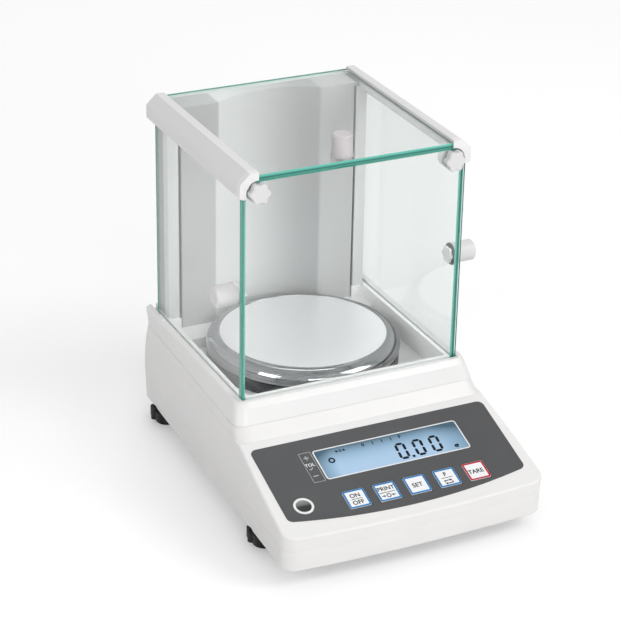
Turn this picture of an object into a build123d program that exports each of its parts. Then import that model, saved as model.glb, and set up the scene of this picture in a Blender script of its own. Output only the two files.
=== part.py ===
from build123d import *

import os
from math import cos, radians, sin, tan

# Precision balance with a glass draught shield, in millimetres.
# +Z is up, +Y runs to the rear and -Y faces the user.
# The origin lies on the table, midway between the two sides and between the front and the rear of the housing.

os.makedirs("parts", exist_ok=True)

# Clearances
SLIDE_GAP = 0.3
SCREW_GAP = 0.05
PAN_GAP = 0.8

# Housing, seen from above
BODY_DEPTH = 237.0
SEAM_HALF_FRONT = 83.9
SEAM_HALF_REAR = 76.6
FRONT_BOW = 3.1
FRONT_CORNER = 8.5
REAR_CORNER = 8.0
WALL = 2.5

# Housing heights
BODY_BOTTOM = 10.0
LOWER_HEIGHT = 13.5
LOWER_DRAFT = 0.35
HOUSING_TOP = 62.0
CHAMBER_FLOOR = 59.0
SIDE_BULGE = 0.83
SIDE_TUCK = 2.3
BOTTOM_EDGE = 1.0
SEAM_EDGE = 0.4

# Sloping console and the step behind it
CONSOLE_SLOPE = 17.8
CONSOLE_Y = -49.3
CONSOLE_Z = 53.3
CONSOLE_EDGE = 1.5
STEP_FOOT_Y = -44.0
STEP_TOP_Y = -37.8
STEP_EDGE = 0.9
STEP_SETBACK = 0.1
STEP_BOW = 0.6

# Control panel: x runs across and s runs up the slope from the top edge of the overlay
OVERLAY_HALF = 76.7
OVERLAY_LENGTH = 57.0
OVERLAY_BOW = 7.8
OVERLAY_CORNER = 4.0
OVERLAY_THICK = 1.2
OVERLAY_PROUD = 0.2
DISPLAY_LEFT = -41.0
DISPLAY_RIGHT = 52.0
DISPLAY_TOP = -11.0
DISPLAY_BOTTOM = -33.0
DISPLAY_CORNER = 1.5
WINDOW_THICK = 1.0
LCD_MARGIN = 1.5
KEY_WIDTH = 13.5
KEY_LENGTH = 13.3
KEY_PITCH = 19.5
KEY_FIRST_X = -31.5
KEY_S = -51.6
KEY_CORNER = 1.0
KEY_THICK = 2.0
KEY_PROUD = 0.2
KEY_STEM = 2.0
KEY_TRAVEL = 0.4
KEY_NAMES = ("key_on_off", "key_print", "key_set", "key_function", "key_tare")
SWITCH_RADIUS = 2.2
SWITCH_HEIGHT = 3.6
PANEL_BOARD_DROP = 7.5
PANEL_BOARD_WIDTH = 112.0
PANEL_BOARD_LENGTH = 60.0
PANEL_BOARD_S = -33.0
PANEL_POST = 2.2
PANEL_POST_INSET = 3.5
BOARD_THICK = 1.6
LEVEL_X = -63.5
LEVEL_S = -48.4
LEVEL_RADIUS = 6.0
LEVEL_PROUD = 0.3
LEVEL_DEPTH = 7.0
VIAL_RADIUS = 4.6
VIAL_BASE = 1.2

# Draught shield frame
TRAY_TOP = 74.0
TRAY_HALF = 75.8
TRAY_FOOT_Y = -37.1
TRAY_CREASE_Y = -33.0
TRAY_FRONT_Y = -30.9
TRAY_CREASE_Z = 71.0
TRAY_REAR_Y = 116.0
TRAY_FLOOR = 65.7
TRAY_FLOOR_Y = 73.5
TRAY_BOW = 0.6
TRAY_FRONT_CORNER = 7.0
TRAY_REAR_CORNER = 5.0
TRAY_EDGE = 0.8
GROOVE_DEPTH = 4.0
INNER_LIP = 2.3
TAB_WIDTH = 2.2
TAB_LENGTH = 9.0
TAB_HEIGHT = 0.5
TAB_YS = (-24.0, 94.5)

# Glass
GLASS = 3.0
TOP_GLASS = 3.5
SHIELD_FRONT_Y = -26.5
DOOR_OUTER = 71.0
PANE_HALF = 70.8
PANE_TOP_HALF = 68.5
DOOR_REAR_Y = 104.3
DOOR_TOP = 205.8
TOP_DOOR_Z = 210.3
TOP_DOOR_HALF = 64.5
TOP_DOOR_REAR_Y = 113.5
GLASS_EDGE = 0.3

# Rails along the top of the shield, right-hand section
RAIL_TOP = 215.8
RAIL_INNER = 61.7
RAIL_FLAT = 67.0
RAIL_OUTER = 73.4
RAIL_SHOULDER = 209.7
RAIL_SKIRT = 201.5
RAIL_CHAMFER = 0.9
RAIL_REAR_Y = 112.2
RAIL_LIP_Z = 207.0
RAIL_FOOT_X = 66.0
RAIL_FOOT_Z = 203.0
CAP_PROUD = 1.2

# Clamp knobs of the front glass
CLAMP_X = 62.1
CLAMP_Z = 203.8
CLAMP_RADIUS = 6.45
CLAMP_LENGTH = 4.7
CLAMP_EDGE = 0.7
CLAMP_LOBES = 6
CLAMP_LOBE_RADIUS = 2.0
CLAMP_SHANK = 2.0
CLAMP_HOLE = 2.6
CLAMP_SCOOP = 7.3
BOSS_RADIUS = 6.2
BOSS_LENGTH = 5.0

# Door knobs
KNOB_RADIUS = 6.8
KNOB_TIP = 6.3
KNOB_LENGTH = 13.3
KNOB_FLANGE = 1.2
KNOB_EDGE = 0.8
KNOB_Y = -15.5
KNOB_Z = 138.4
KNOB_SHANK = 2.5
DISC_RADIUS = 5.2
DISC_THICK = 1.7
DISC_LOBES = 6
DISC_LOBE_RADIUS = 1.6
TOP_KNOB_X = -5.8
TOP_KNOB_Y = -18.0
TOP_KNOB_LENGTH = 13.2
TOP_KNOB_TIP = 5.9
TOP_DISC_RADIUS = 3.9
TOP_DISC_LOBE = 1.2

# Rear column
COLUMN_FRONT_Y = 91.5
COLUMN_REAR_Y = 113.3
COLUMN_HALF = 66.3
COLUMN_CORNER = 3.0
COLUMN_TOP = 210.0
BACK_WALL_HALF = 57.3
RECESS_RADIUS = 63.0
RECESS_EDGE = 3.0
SHEET = 2.0
POST_INNER = 59.0
POST_OUTER = 66.5
POST_DEPTH = 6.5
POST_EDGE = 0.5
POST_GAP = 0.1
PEDESTAL_HEIGHT = 7.0
PEDESTAL_STEP = 0.7
TOP_PLATE = 2.2
BAR_DEPTH = 3.6
BAR_HEIGHT = 4.5

# Weighing pan and what carries it
PAN_Y = 39.0
PAN_TOP = 76.5
PAN_SHEET = 1.2
PAN_DISC_RADIUS = 50.4
RIM_RADIUS = 59.0
RIM_WIDEST_Z = 68.7
RIM_BOTTOM = 67.0
RIM_WALL = 1.5
RIM_SEAT = 3.0
BEAD_WIDTH = 1.6
BEAD_HEIGHT = 0.5
RING_RADIUS = 58.4
RING_WALL = 2.4
RING_MARGIN = 2.0
HUB_RADIUS = 9.0
HUB_LENGTH = 2.8
CARRIER_PIN = 4.7
CARRIER_HUB = 8.0
CARRIER_HOLE = 12.0
ARM_TOP = 72.0
ARM_LENGTH = 42.0
ARM_WIDTH = 8.0
ARM_THICK = 3.0
ARM_COUNT = 4
ARM_PAD = 3.5

# Load cell inside the housing
CELL_WIDTH = 30.0
CELL_LENGTH = 110.0
CELL_HEIGHT = 20.0
CELL_Z = 20.0
CELL_END = 24.0
FLEX_RADIUS = 7.5
FLEX_SPACING = 36.0
FLEX_SLOT = 3.0
SEAT_RIM = 3.0
BRACKET_WIDTH = 24.0
BRACKET_THICK = 4.0
BRACKET_STEP = 1.5
STOP_RADIUS = 4.0
STOP_GAP = 0.4
CELL_SCREW = 2.5
CELL_SCREW_HEAD = 4.2
CELL_SCREW_HEIGHT = 3.0
CELL_SCREW_DEPTH = 8.0
CELL_SCREW_PITCH = 14.0

# Main circuit board in the lower housing
BOARD_WIDTH = 110.0
BOARD_LENGTH = 56.0
BOARD_Y = -62.0
BOARD_Z = 18.0
STANDOFF_RADIUS = 3.0
STANDOFF_INSET = 5.0
CHIP_SIZES = ((-25.0, 8.0, 14.0, 14.0, 1.8), (12.0, -6.0, 20.0, 10.0, 2.4), (38.0, 12.0, 9.0, 16.0, 4.0))

# Levelling feet
FOOT_FRONT = (73.0, -64.5)
FOOT_REAR = (69.0, 95.5)
FOOT_RADIUS = 11.0
FOOT_LOBES = 10
FOOT_LOBE_RADIUS = 2.4
FOOT_EDGE = 0.8
FOOT_TOP = 9.2
PAD_HEIGHT = 3.0
PAD_RADIUS = 8.5
PAD_TIP = 7.4
STUD_RADIUS = 3.0
STUD_TOP = 22.0
FOOT_BOSS = 6.0
FOOT_BOSS_TOP = 23.0
NOTCH_RADIUS = 6.5
NOTCH_RISE = 1.8
NOTCH_INSET = 7.5

# Connectors in the rear wall
INLET_X = -48.0
INLET_Z = 36.0
INLET_SIZE = 11.0
INLET_BARREL = 4.4
INLET_BORE = 3.2
INLET_PIN = 1.0
INLET_DEPTH = 9.0
SERIAL_X = 30.0
SERIAL_Z = 36.0
SERIAL_WIDTH = 31.0
SERIAL_HEIGHT = 12.6
SERIAL_SHELL = 17.0
SERIAL_SHELL_HEIGHT = 8.4
SERIAL_SHELL_SLANT = 10.0
SERIAL_NUT = 2.4
SERIAL_NUT_SPACING = 25.0
CONNECTOR_DEPTH = 11.0
CONNECTOR_INSET = 0.3

# Screws that hold the two halves of the housing together
SCREW_RADIUS = 1.5
SCREW_HEAD = 3.0
SCREW_HEAD_HEIGHT = 2.0
SCREW_SINK = 1.0
SCREW_BOSS = 4.0
SCREW_SEATS = ((74.5, -98.0), (58.0, 80.0))
SCREW_TOP = 31.0

# Values that follow from the driving dimensions
FRONT_Y = -BODY_DEPTH / 2
REAR_Y = BODY_DEPTH / 2
SEAM_Z = BODY_BOTTOM + LOWER_HEIGHT
BODY_FLOOR = BODY_BOTTOM + WALL
SLOPE = radians(CONSOLE_SLOPE)
PANEL = Plane(origin=(0, CONSOLE_Y, CONSOLE_Z), x_dir=(1, 0, 0), z_dir=(0, -sin(SLOPE), cos(SLOPE)))
STEP_FOOT_Z = CONSOLE_Z + (STEP_FOOT_Y - CONSOLE_Y) * tan(SLOPE)
GROOVE_FLOOR = TRAY_TOP - GROOVE_DEPTH
DOOR_INNER = DOOR_OUTER - GLASS
GROOVE_OUTER = DOOR_OUTER + SLIDE_GAP
GROOVE_INNER = DOOR_INNER - SLIDE_GAP
LIP_INNER = GROOVE_INNER - INNER_LIP
PANE_REAR_Y = SHIELD_FRONT_Y + GLASS
RAIL_FRONT_Y = PANE_REAR_Y + SLIDE_GAP
DOOR_FRONT_Y = RAIL_FRONT_Y + SLIDE_GAP
DOOR_BOTTOM = GROOVE_FLOOR + SLIDE_GAP
CHAMBER_FRONT_Y = RAIL_FRONT_Y + INNER_LIP
TOP_DOOR_TOP = TOP_DOOR_Z + TOP_GLASS
LIP_TOP = TOP_DOOR_Z - SLIDE_GAP
RAIL_BOTTOM = RAIL_SKIRT - RAIL_CHAMFER
BAR_FRONT_Y = COLUMN_REAR_Y - BAR_DEPTH
BAR_BOTTOM = COLUMN_TOP - BAR_HEIGHT
RING_OPENING = RING_RADIUS + RING_MARGIN
PAN_UNDERSIDE = PAN_TOP - PAN_SHEET
BRACKET_BOTTOM = CELL_Z + CELL_HEIGHT + BRACKET_STEP
BRACKET_TOP = BRACKET_BOTTOM + BRACKET_THICK
CELL_FRONT_Y = PAN_Y - CELL_LENGTH / 2
CELL_REAR_Y = PAN_Y + CELL_LENGTH / 2
LEFT = -1
RIGHT = 1
SIDES = (("left", LEFT), ("right", RIGHT))
OVER = 20.0
FOOT_PLACES = [(side * x, y) for x, y in (FOOT_FRONT, FOOT_REAR) for side in (LEFT, RIGHT)]
SCREW_PLACES = [(side * x, y) for x, y in SCREW_SEATS for side in (LEFT, RIGHT)]
KEY_PLACES = [(KEY_FIRST_X + KEY_PITCH * index, KEY_S) for index in range(len(KEY_NAMES))]
DISPLAY_CENTRE = ((DISPLAY_LEFT + DISPLAY_RIGHT) / 2, (DISPLAY_TOP + DISPLAY_BOTTOM) / 2)
DISPLAY_SIZE = (DISPLAY_RIGHT - DISPLAY_LEFT, DISPLAY_TOP - DISPLAY_BOTTOM)
PANEL_BOARD_X = DISPLAY_CENTRE[0]
CELL_SCREW_YS = (CELL_REAR_Y - CELL_END / 2, CELL_FRONT_Y + CELL_END / 2)


def side_half(y):
    """Half width of the housing at the seam, which narrows towards the rear."""
    share = (y - FRONT_Y) / BODY_DEPTH
    return SEAM_HALF_FRONT + (SEAM_HALF_REAR - SEAM_HALF_FRONT) * share


def side_spread(z):
    """How far the side wall stands out from the seam at a height: it bulges, then tucks in towards the top."""
    share = (z - SEAM_Z) / (HOUSING_TOP - SEAM_Z)
    return SIDE_BULGE * 4 * share * (1 - share) - SIDE_TUCK * share ** 2


def rounded_plan(ends, halves, bow, corners, inset=0.0):
    """Outline from above with a bowed front and rounded corners; each pair is (front, rear)."""
    front_y, rear_y = ends
    front_half, rear_half = halves
    with BuildSketch() as plan:
        with BuildLine():
            ThreePointArc((-front_half, front_y + bow), (0, front_y), (front_half, front_y + bow))
            Polyline(
                (front_half, front_y + bow),
                (rear_half, rear_y),
                (-rear_half, rear_y),
                (-front_half, front_y + bow),
            )
        make_face()
        fillet(plan.vertices().group_by(Axis.Y)[0], corners[0])
        fillet(plan.vertices().group_by(Axis.Y)[-1], corners[1])
        if inset:
            offset(amount=-inset)
    return plan.sketch


def body_plan(level, inset=0.0, front_y=FRONT_Y, bow=FRONT_BOW):
    """Outline of the housing at a height."""
    spread = -LOWER_DRAFT * (SEAM_Z - level) / LOWER_HEIGHT if level < SEAM_Z else side_spread(level)
    halves = (side_half(front_y) + spread, side_half(REAR_Y) + spread)
    return rounded_plan((front_y, REAR_Y), halves, bow, (FRONT_CORNER, REAR_CORNER), inset)


def stacked(sections, smooth=False):
    """Solid through outlines at rising heights, with flat-sided or smooth walls between them."""
    with BuildPart() as stack:
        for level, plan in sections:
            with BuildSketch(Plane.XY.offset(level)):
                add(plan)
        loft(ruled=not smooth)
    return stack.part


def body_envelope(inset=0.0):
    """Upper body below the step: curved side walls cut off along the console slope."""
    top = STEP_FOOT_Z - inset
    levels = [SEAM_Z + (top - SEAM_Z) * share for share in (0.0, 0.35, 0.7, 1.0)]
    body = stacked([(level, body_plan(level, inset)) for level in levels], smooth=True)
    with BuildPart() as envelope:
        add(body)
        with BuildSketch(PANEL.offset(-inset)):
            Rectangle(BODY_DEPTH, BODY_DEPTH)
        extrude(amount=BODY_DEPTH, mode=Mode.SUBTRACT)
    return envelope.part


def facing(y):
    """Upright plane across the balance, with x to the right and z up; a negative extrusion runs to the rear."""
    return Plane.XZ.offset(-y)


def lobed(radius, lobe_radius, count):
    """Round outline with evenly spaced lobes, reaching the given radius."""
    with BuildSketch() as outline:
        Circle(radius - lobe_radius * 0.6)
        with PolarLocations(radius - lobe_radius, count):
            Circle(lobe_radius)
    return outline.sketch


def door_knob(seat, outward, length, tip, pane):
    """Turned knob that stands on a pane, with a flange at its foot and a shank through the glass."""
    plane = Plane(origin=seat, x_dir=outward, z_dir=(0, 1, 0))
    with BuildPart() as knob:
        with BuildSketch(plane):
            with BuildLine():
                Polyline(
                    (-pane, 0),
                    (-pane, KNOB_SHANK),
                    (0, KNOB_SHANK),
                    (0, KNOB_RADIUS),
                    (KNOB_FLANGE, KNOB_RADIUS),
                    (KNOB_FLANGE, KNOB_RADIUS - KNOB_EDGE / 2),
                    (length - KNOB_EDGE, tip),
                    (length, tip - KNOB_EDGE),
                    (length, 0),
                    close=True,
                )
            make_face()
        revolve(axis=Axis(plane.origin, plane.x_dir))
    return knob


def knob_nut(seat, inward, radius, lobe_radius):
    """Lobed nut that holds a door knob from inside the chamber."""
    with BuildPart() as nut:
        with BuildSketch(Plane(origin=seat, x_dir=(0, 1, 0), z_dir=inward)):
            add(lobed(radius, lobe_radius, DISC_LOBES))
        extrude(amount=DISC_THICK)
    return nut


def finish(piece, name):
    """Label a finished piece and write it."""
    piece.part.label = name
    export_step(piece.part, f"parts/{name}.step")


# Lower housing: a shallow tray with the bosses for feet, screws, board and load cell
lower_outer = stacked(
    [
        (BODY_BOTTOM, body_plan(BODY_BOTTOM, BOTTOM_EDGE)),
        (BODY_BOTTOM + BOTTOM_EDGE, body_plan(BODY_BOTTOM + BOTTOM_EDGE)),
        (SEAM_Z - SEAM_EDGE, body_plan(SEAM_Z - SEAM_EDGE)),
        (SEAM_Z, body_plan(SEAM_Z, SEAM_EDGE)),
    ]
)
with BuildPart() as lower_housing:
    add(lower_outer)
    with BuildSketch(Plane.XY.offset(BODY_FLOOR)):
        add(body_plan(BODY_FLOOR, WALL))
    extrude(amount=LOWER_HEIGHT, mode=Mode.SUBTRACT)
    with BuildSketch(Plane.XY.offset(BODY_BOTTOM)):
        with Locations(*FOOT_PLACES):
            Circle(FOOT_BOSS)
    extrude(amount=FOOT_BOSS_TOP - BODY_BOTTOM)
    with Locations(*[(x, y, FOOT_BOSS_TOP) for x, y in FOOT_PLACES]):
        Hole(STUD_RADIUS + SCREW_GAP, FOOT_BOSS_TOP - BODY_BOTTOM)
    with BuildSketch(Plane.XY.offset(BODY_BOTTOM)):
        with Locations(*SCREW_PLACES):
            Circle(SCREW_BOSS)
    extrude(amount=LOWER_HEIGHT)
    with Locations(*[Location((x, y, BODY_BOTTOM), (180, 0, 0)) for x, y in SCREW_PLACES]):
        CounterBoreHole(
            radius=SCREW_RADIUS + SCREW_GAP,
            counter_bore_radius=SCREW_HEAD + SLIDE_GAP,
            counter_bore_depth=SCREW_HEAD_HEIGHT + SCREW_SINK,
            depth=LOWER_HEIGHT,
        )
    with BuildSketch(Plane.XY.offset(BODY_FLOOR)):
        with Locations((0, BOARD_Y)):
            with GridLocations(BOARD_WIDTH - 2 * STANDOFF_INSET, BOARD_LENGTH - 2 * STANDOFF_INSET, 2, 2):
                Circle(STANDOFF_RADIUS)
    extrude(amount=BOARD_Z - BODY_FLOOR)
    with BuildSketch(Plane.XY.offset(BODY_FLOOR)):
        with Locations((0, CELL_FRONT_Y + CELL_END / 2)):
            Rectangle(CELL_WIDTH + 2 * WALL, CELL_END + 2 * WALL)
            Rectangle(CELL_WIDTH + 2 * SLIDE_GAP, CELL_END + 2 * SLIDE_GAP, mode=Mode.SUBTRACT)
    extrude(amount=SEAT_RIM)
    for side in (LEFT, RIGHT):
        for foot_x, foot_y in (FOOT_FRONT, FOOT_REAR):
            with BuildSketch(Plane.YZ.offset(side * (side_half(foot_y) - NOTCH_INSET / 2))):
                with Locations((foot_y, BODY_BOTTOM + NOTCH_RISE - NOTCH_RADIUS)):
                    Circle(NOTCH_RADIUS)
            extrude(amount=side * OVER, mode=Mode.SUBTRACT)
finish(lower_housing, "lower_housing")

# Upper housing: a shell with curved sides, a sloping console and a step up to the draught shield
with BuildPart() as upper_cavity:
    add(body_envelope(WALL))
    with BuildSketch(Plane.XY.offset(SEAM_Z)):
        with Locations(*SCREW_PLACES):
            Circle(SCREW_BOSS)
    extrude(amount=HOUSING_TOP, mode=Mode.SUBTRACT)
    with BuildSketch(PANEL.offset(-PANEL_BOARD_DROP)):
        with Locations((PANEL_BOARD_X, PANEL_BOARD_S)):
            with GridLocations(
                PANEL_BOARD_WIDTH - 2 * PANEL_POST_INSET, PANEL_BOARD_LENGTH - 2 * PANEL_POST_INSET, 2, 2
            ):
                Circle(PANEL_POST)
    extrude(amount=PANEL_BOARD_DROP, mode=Mode.SUBTRACT)

step_block = stacked(
    [
        (STEP_FOOT_Z, body_plan(STEP_FOOT_Z, STEP_SETBACK, STEP_FOOT_Y, STEP_BOW)),
        (HOUSING_TOP - STEP_EDGE, body_plan(HOUSING_TOP - STEP_EDGE, STEP_SETBACK, STEP_TOP_Y, STEP_BOW)),
        (HOUSING_TOP, body_plan(HOUSING_TOP, STEP_EDGE, STEP_TOP_Y, STEP_BOW)),
    ]
)

with BuildSketch() as overlay_outline:
    with BuildLine():
        ThreePointArc(
            (-OVERLAY_HALF, -OVERLAY_LENGTH),
            (0, -OVERLAY_LENGTH - OVERLAY_BOW),
            (OVERLAY_HALF, -OVERLAY_LENGTH),
        )
        Polyline(
            (OVERLAY_HALF, -OVERLAY_LENGTH),
            (OVERLAY_HALF, 0),
            (-OVERLAY_HALF, 0),
            (-OVERLAY_HALF, -OVERLAY_LENGTH),
        )
    make_face()
    fillet(overlay_outline.vertices(), OVERLAY_CORNER)

with BuildPart() as upper_housing:
    add(body_envelope())
    console_faces = upper_housing.faces().filter_by(lambda face: face.normal_at().dot(PANEL.z_dir) > 0.999)
    fillet(console_faces.edges().filter_by(lambda edge: edge.center().Y < STEP_FOOT_Y - SLIDE_GAP), CONSOLE_EDGE)
    add(step_block)
    add(upper_cavity.part, mode=Mode.SUBTRACT)
    with BuildSketch(Plane.XY.offset(CHAMBER_FLOOR)):
        with Locations((0, CHAMBER_FRONT_Y)):
            Rectangle(2 * LIP_INNER, TRAY_FLOOR_Y - CHAMBER_FRONT_Y, align=(Align.CENTER, Align.MIN))
        with Locations((0, PAN_Y)):
            Circle(RING_OPENING)
    extrude(amount=OVER, mode=Mode.SUBTRACT)
    with Locations((0, PAN_Y, CHAMBER_FLOOR)):
        Hole(CARRIER_HOLE, CHAMBER_FLOOR - STEP_FOOT_Z + WALL + SLIDE_GAP)
    with Locations(*[Location((x, y, SEAM_Z), (180, 0, 0)) for x, y in SCREW_PLACES]):
        Hole(SCREW_RADIUS, SCREW_TOP - SEAM_Z)
    with BuildSketch(PANEL):
        add(overlay_outline.sketch)
    extrude(amount=-(OVERLAY_THICK - OVERLAY_PROUD), mode=Mode.SUBTRACT)
    with BuildSketch(PANEL):
        with Locations(DISPLAY_CENTRE):
            Rectangle(DISPLAY_SIZE[0] + 2 * (LCD_MARGIN + SLIDE_GAP), DISPLAY_SIZE[1] + 2 * (LCD_MARGIN + SLIDE_GAP))
        with Locations(*KEY_PLACES):
            Rectangle(KEY_WIDTH + 2 * SLIDE_GAP, KEY_LENGTH + 2 * SLIDE_GAP)
        with Locations((LEVEL_X, LEVEL_S)):
            Circle(LEVEL_RADIUS)
    extrude(amount=-(WALL + SLIDE_GAP), mode=Mode.SUBTRACT)
    with BuildSketch(facing(REAR_Y)):
        with Locations((INLET_X, INLET_Z)):
            Circle(INLET_BARREL + SLIDE_GAP)
        with Locations((SERIAL_X, SERIAL_Z)):
            Rectangle(SERIAL_SHELL + 2 * SLIDE_GAP, SERIAL_SHELL_HEIGHT + 2 * SLIDE_GAP)
            with GridLocations(SERIAL_NUT_SPACING, 0, 2, 1):
                Circle(SERIAL_NUT + SLIDE_GAP)
    extrude(amount=WALL + SLIDE_GAP, mode=Mode.SUBTRACT)
finish(upper_housing, "upper_housing")

# Control panel overlay with its openings
with BuildPart() as panel_overlay:
    with BuildSketch(PANEL.offset(OVERLAY_PROUD)):
        add(overlay_outline.sketch)
        with Locations(DISPLAY_CENTRE):
            RectangleRounded(*DISPLAY_SIZE, DISPLAY_CORNER, mode=Mode.SUBTRACT)
        with Locations(*KEY_PLACES):
            Rectangle(KEY_WIDTH + 2 * SLIDE_GAP, KEY_LENGTH + 2 * SLIDE_GAP, mode=Mode.SUBTRACT)
        with Locations((LEVEL_X, LEVEL_S)):
            Circle(LEVEL_RADIUS, mode=Mode.SUBTRACT)
    extrude(amount=-OVERLAY_THICK)
finish(panel_overlay, "panel_overlay")

# Display: a window flush with the overlay and the module under it
with BuildPart() as display_window:
    with BuildSketch(PANEL.offset(OVERLAY_PROUD)):
        with Locations(DISPLAY_CENTRE):
            RectangleRounded(*DISPLAY_SIZE, DISPLAY_CORNER)
    extrude(amount=-WINDOW_THICK)
finish(display_window, "display_window")

with BuildPart() as lcd_module:
    with BuildSketch(PANEL.offset(OVERLAY_PROUD - OVERLAY_THICK)):
        with Locations(DISPLAY_CENTRE):
            Rectangle(DISPLAY_SIZE[0] + 2 * LCD_MARGIN, DISPLAY_SIZE[1] + 2 * LCD_MARGIN)
    extrude(amount=-(PANEL_BOARD_DROP - OVERLAY_THICK + OVERLAY_PROUD))
    with BuildSketch(PANEL.offset(OVERLAY_PROUD - WINDOW_THICK)):
        with Locations(DISPLAY_CENTRE):
            Rectangle(DISPLAY_SIZE[0] - 2 * LCD_MARGIN, DISPLAY_SIZE[1] - 2 * LCD_MARGIN)
    extrude(amount=-(OVERLAY_THICK - WINDOW_THICK))
finish(lcd_module, "lcd_module")

# Panel board behind the console, with one switch under each key
with BuildPart() as panel_board:
    with BuildSketch(PANEL.offset(-PANEL_BOARD_DROP)):
        with Locations((PANEL_BOARD_X, PANEL_BOARD_S)):
            Rectangle(PANEL_BOARD_WIDTH, PANEL_BOARD_LENGTH)
    extrude(amount=-BOARD_THICK)
    with BuildSketch(PANEL.offset(-PANEL_BOARD_DROP)):
        with Locations(*KEY_PLACES):
            Rectangle(2.4 * SWITCH_RADIUS, 2.4 * SWITCH_RADIUS)
    extrude(amount=SWITCH_HEIGHT / 2)
    with BuildSketch(PANEL.offset(-PANEL_BOARD_DROP)):
        with Locations(*KEY_PLACES):
            Circle(SWITCH_RADIUS)
    extrude(amount=SWITCH_HEIGHT)
finish(panel_board, "panel_board")

# Key caps, each with a stem that reaches down to its switch
for name, place in zip(KEY_NAMES, KEY_PLACES):
    with BuildPart() as key:
        with BuildSketch(PANEL.offset(OVERLAY_PROUD + KEY_PROUD)):
            with Locations(place):
                RectangleRounded(KEY_WIDTH, KEY_LENGTH, KEY_CORNER)
        extrude(amount=-KEY_THICK)
        with BuildSketch(PANEL.offset(SWITCH_HEIGHT - PANEL_BOARD_DROP + KEY_TRAVEL + SLIDE_GAP)):
            with Locations(place):
                Circle(KEY_STEM)
        extrude(amount=PANEL_BOARD_DROP - SWITCH_HEIGHT - KEY_TRAVEL - SLIDE_GAP + OVERLAY_PROUD)
    finish(key, name)

# Spirit level: a holder set into the overlay and the vial inside it
with BuildPart() as level_holder:
    with BuildSketch(PANEL.offset(OVERLAY_PROUD + LEVEL_PROUD)):
        with Locations((LEVEL_X, LEVEL_S)):
            Circle(LEVEL_RADIUS)
    extrude(amount=-LEVEL_DEPTH)
    with BuildSketch(PANEL.offset(OVERLAY_PROUD + LEVEL_PROUD)):
        with Locations((LEVEL_X, LEVEL_S)):
            Circle(VIAL_RADIUS)
    extrude(amount=-(LEVEL_DEPTH - VIAL_BASE), mode=Mode.SUBTRACT)
finish(level_holder, "level_holder")

with BuildPart() as level_vial:
    with BuildSketch(PANEL.offset(OVERLAY_PROUD)):
        with Locations((LEVEL_X, LEVEL_S)):
            Circle(VIAL_RADIUS)
    extrude(amount=-(LEVEL_DEPTH - VIAL_BASE - LEVEL_PROUD))
finish(level_vial, "level_vial")

# Draught shield frame: a ring round the chamber with grooves for the panes and a raised floor at the rear
tray_foot_halves = (side_half(TRAY_FOOT_Y) + side_spread(HOUSING_TOP), side_half(REAR_Y) + side_spread(HOUSING_TOP))
tray_ends = (TRAY_FOOT_Y, TRAY_REAR_Y)
tray_corners = (TRAY_FRONT_CORNER, TRAY_REAR_CORNER)
crease_share = (TRAY_CREASE_Z - HOUSING_TOP) / (TRAY_TOP - HOUSING_TOP)
crease_halves = tuple(half + (TRAY_HALF - half) * crease_share for half in tray_foot_halves)
top_halves = (TRAY_HALF, TRAY_HALF)
tray_outer = stacked(
    [
        (HOUSING_TOP, rounded_plan(tray_ends, tray_foot_halves, TRAY_BOW, tray_corners, SEAM_EDGE)),
        (HOUSING_TOP + SEAM_EDGE, rounded_plan(tray_ends, tray_foot_halves, TRAY_BOW, tray_corners)),
        (TRAY_CREASE_Z, rounded_plan((TRAY_CREASE_Y, TRAY_REAR_Y), crease_halves, TRAY_BOW, tray_corners)),
        (TRAY_TOP - TRAY_EDGE, rounded_plan((TRAY_FRONT_Y, TRAY_REAR_Y), top_halves, TRAY_BOW, tray_corners)),
        (TRAY_TOP, rounded_plan((TRAY_FRONT_Y, TRAY_REAR_Y), top_halves, TRAY_BOW, tray_corners, TRAY_EDGE)),
    ]
)
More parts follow.
